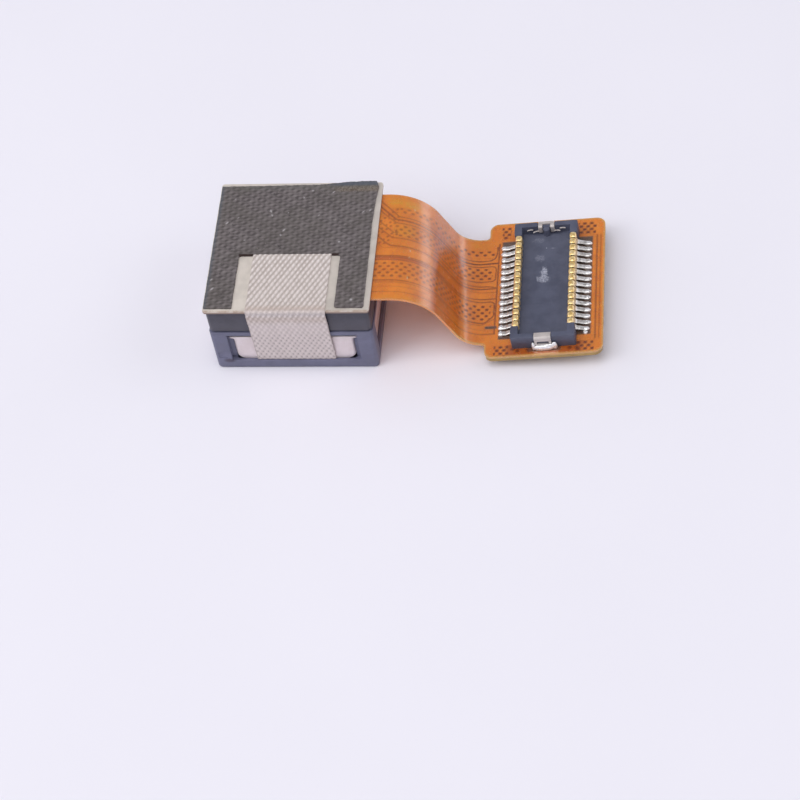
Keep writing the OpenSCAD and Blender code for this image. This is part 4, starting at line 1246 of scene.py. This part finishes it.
def make_can():
    look = Look("can_metal", metal=0.3, spec=0.5)
    fine = look.noise(10, 3, 0.6, stretch=(1, 1, 0.3))
    patch = look.noise(1.4, 4, 0.6)
    tone = look.mix(look.ramp(patch, 0.35, 0.65), (0.83, 0.735, 0.745), (0.77, 0.675, 0.675))
    look.set(
        colour=look.mix(look.ramp(fine, 0.5, 0.8, 0, 0.3), tone, (0.93, 0.86, 0.88)),
        rough=look.ramp(fine, 0.3, 0.7, 0.36, 0.50),
        normal=look.bump(fine, 0.003))

    def drop(z):
        """(how far the faces' sides and the faces themselves lie in, near the closed end)."""
        t = np.clip((0.92 - z) / 0.46, 0, 1)
        d = np.clip((CAN_LOW + DRAWN - z) / DRAWN, 0, 1)
        return 0.95 * (1 - math.sqrt(1 - t * t)), DRAWN * (1 - math.sqrt(1 - d * d))

    # (height, half width of the notched plan, half width of the faces, inset of the faces, corner radius)
    rows = []
    low_edge = CAN_LOW + DRAWN * (1 - np.cos(np.linspace(0.15, math.pi / 2, 8)))
    for z in np.r_[low_edge, np.arange(0.66, 2.06, 0.06)]:
        a, d = drop(z)
        rows.append((z, LOBE, LOBE - a, d, 0.15))
    for t in np.linspace(0, 1, 7):
        half = LOBE + (FLANGE - LOBE) * (1 - math.sqrt(1 - t * t))
        rows.append((2.08 + 0.18 * t, half, half, 0, 0.13))
    rows.append((CAN_TOP - 0.015, FLANGE, FLANGE, 0, 0.12))
    rows.append((CAN_TOP, FLANGE, FLANGE, 0.015, 0.12))
    inner = LOBE - CAN_SHEET
    rows.append((CAN_TOP, inner + 0.015, inner + 0.015, CAN_SHEET - 0.015, 0.06))
    rows.append((CAN_TOP - 0.03, inner, inner, CAN_SHEET, 0.05))
    for z in np.r_[2.2, 1.6, 1.1, 0.92, 0.80, 0.70, 0.62, 0.55, 0.48, CAN_LOW + CAN_SHEET]:
        rows.append((z, inner, inner - drop(z)[0], CAN_SHEET + 0.5 * drop(z)[1], 0.04))
    rings = []
    for z, half, face_half, inset, corner in rows:
        line = notched_line(half, face_half, CAN_W / 2 - inset, CAN_D / 2 - inset, corner)
        rings.append(np.column_stack([line, np.full(len(line), z)]))
    way = rings[0][:, :2] / np.linalg.norm(rings[0][:, :2], axis=1)[:, None]
    n = len(way)
    rings = [np.column_stack([way * CAN_HOLE, np.full(n, CAN_LOW)])] + rings
    rings.append(np.column_stack([way * CAN_HOLE, np.full(n, CAN_LOW + CAN_SHEET)]))
    faces = []
    for k in range(len(rings)):
        faces += band(k * n, (k + 1) % len(rings) * n, n)
    piece("can_drawn", np.vstack(rings), faces, look, "can_steel", stands_for="yoke_can", smooth=35)


make_can()

plate_look = metal("plate_metal", (0.70, 0.64, 0.575), 0.42, scale=9)
plate_look.set(metal=0.3)
plate_side = plate_look.ramp(plate_look.axes()[2], 4.735, 4.69)
chips = plate_look.ramp(plate_look.noise(3.1, 3, 0.7), 0.42, 0.62, 0.25, 0.85)
plate_front = plate_look.times(plate_look.ramp(plate_look.axes()[1], -4.10, -4.20), chips)
plate_look.set(colour=plate_look.layers(
    plate_look.tone(), (plate_front, (0.42, 0.31, 0.24)), (plate_side, (0.33, 0.245, 0.20))))
eased_copy("rear_stiffener", plate_look, 0.018)

board_look = plastic("board", (0.42, 0.26, 0.075), 0.45, 0.003)
eased_copy("pad_stiffener", board_look, 0.012)


# ---------------------------------------------------------------- looks of the CAD nodes that stay

spring = metal("spring_sheet", (0.75, 0.62, 0.38), 0.3)
assign(spring, "rear_leaf_spring", "front_leaf_spring", "coil_terminals")
assign(metal("wire_gold", (0.90, 0.66, 0.28), 0.25), "bond_wires")
assign(solder_look, "terminal_solder")
nickel = metal("magnet_plate", (0.50, 0.50, 0.52), 0.35)
assign(nickel, "magnet_right", "magnet_back", "magnet_left", "magnet_front")
assign(metal("coil_wire", (0.80, 0.32, 0.14), 0.3, brush=(0.1, 0.1, 1), scale=30, depth=0.01), "voice_coil")
assign(metal("die", (0.20, 0.22, 0.30), 0.15), "image_sensor", "driver_chip")
assign(plastic("ceramic_body", (0.35, 0.24, 0.16), 0.4), "chip_capacitors")
black = plastic("black_plastic", (0.020, 0.020, 0.022), 0.45, 0.003, 0.2)
assign(black, "actuator_base", "lens_carrier", "lens_barrel", "spring_spacer", "retainer_ring")
shield = plastic("shield_sheet", (0.012, 0.012, 0.013), 0.6, 0.002, 0.2)
assign(shield, "light_shield_front", "light_shield_rear", "lens_spacer")

for name, ior, low, high, names in (
    ("lens_glass", 1.53, (0.93, 0.96, 0.97), (0.97, 0.98, 0.98), ("lens_1", "lens_2", "lens_3", "lens_4")),
    ("filter_glass", 1.52, (0.60, 0.82, 0.86), (0.66, 0.86, 0.90), ("infrared_filter",)),
):
    glass = Look(name, through=1.0, rough=0.02, ior=ior)
    glass.set(colour=glass.mix(glass.ramp(glass.noise(2, 2), 0.3, 0.7), low, high))
    assign(glass, *names)

bpy.context.view_layer.update()
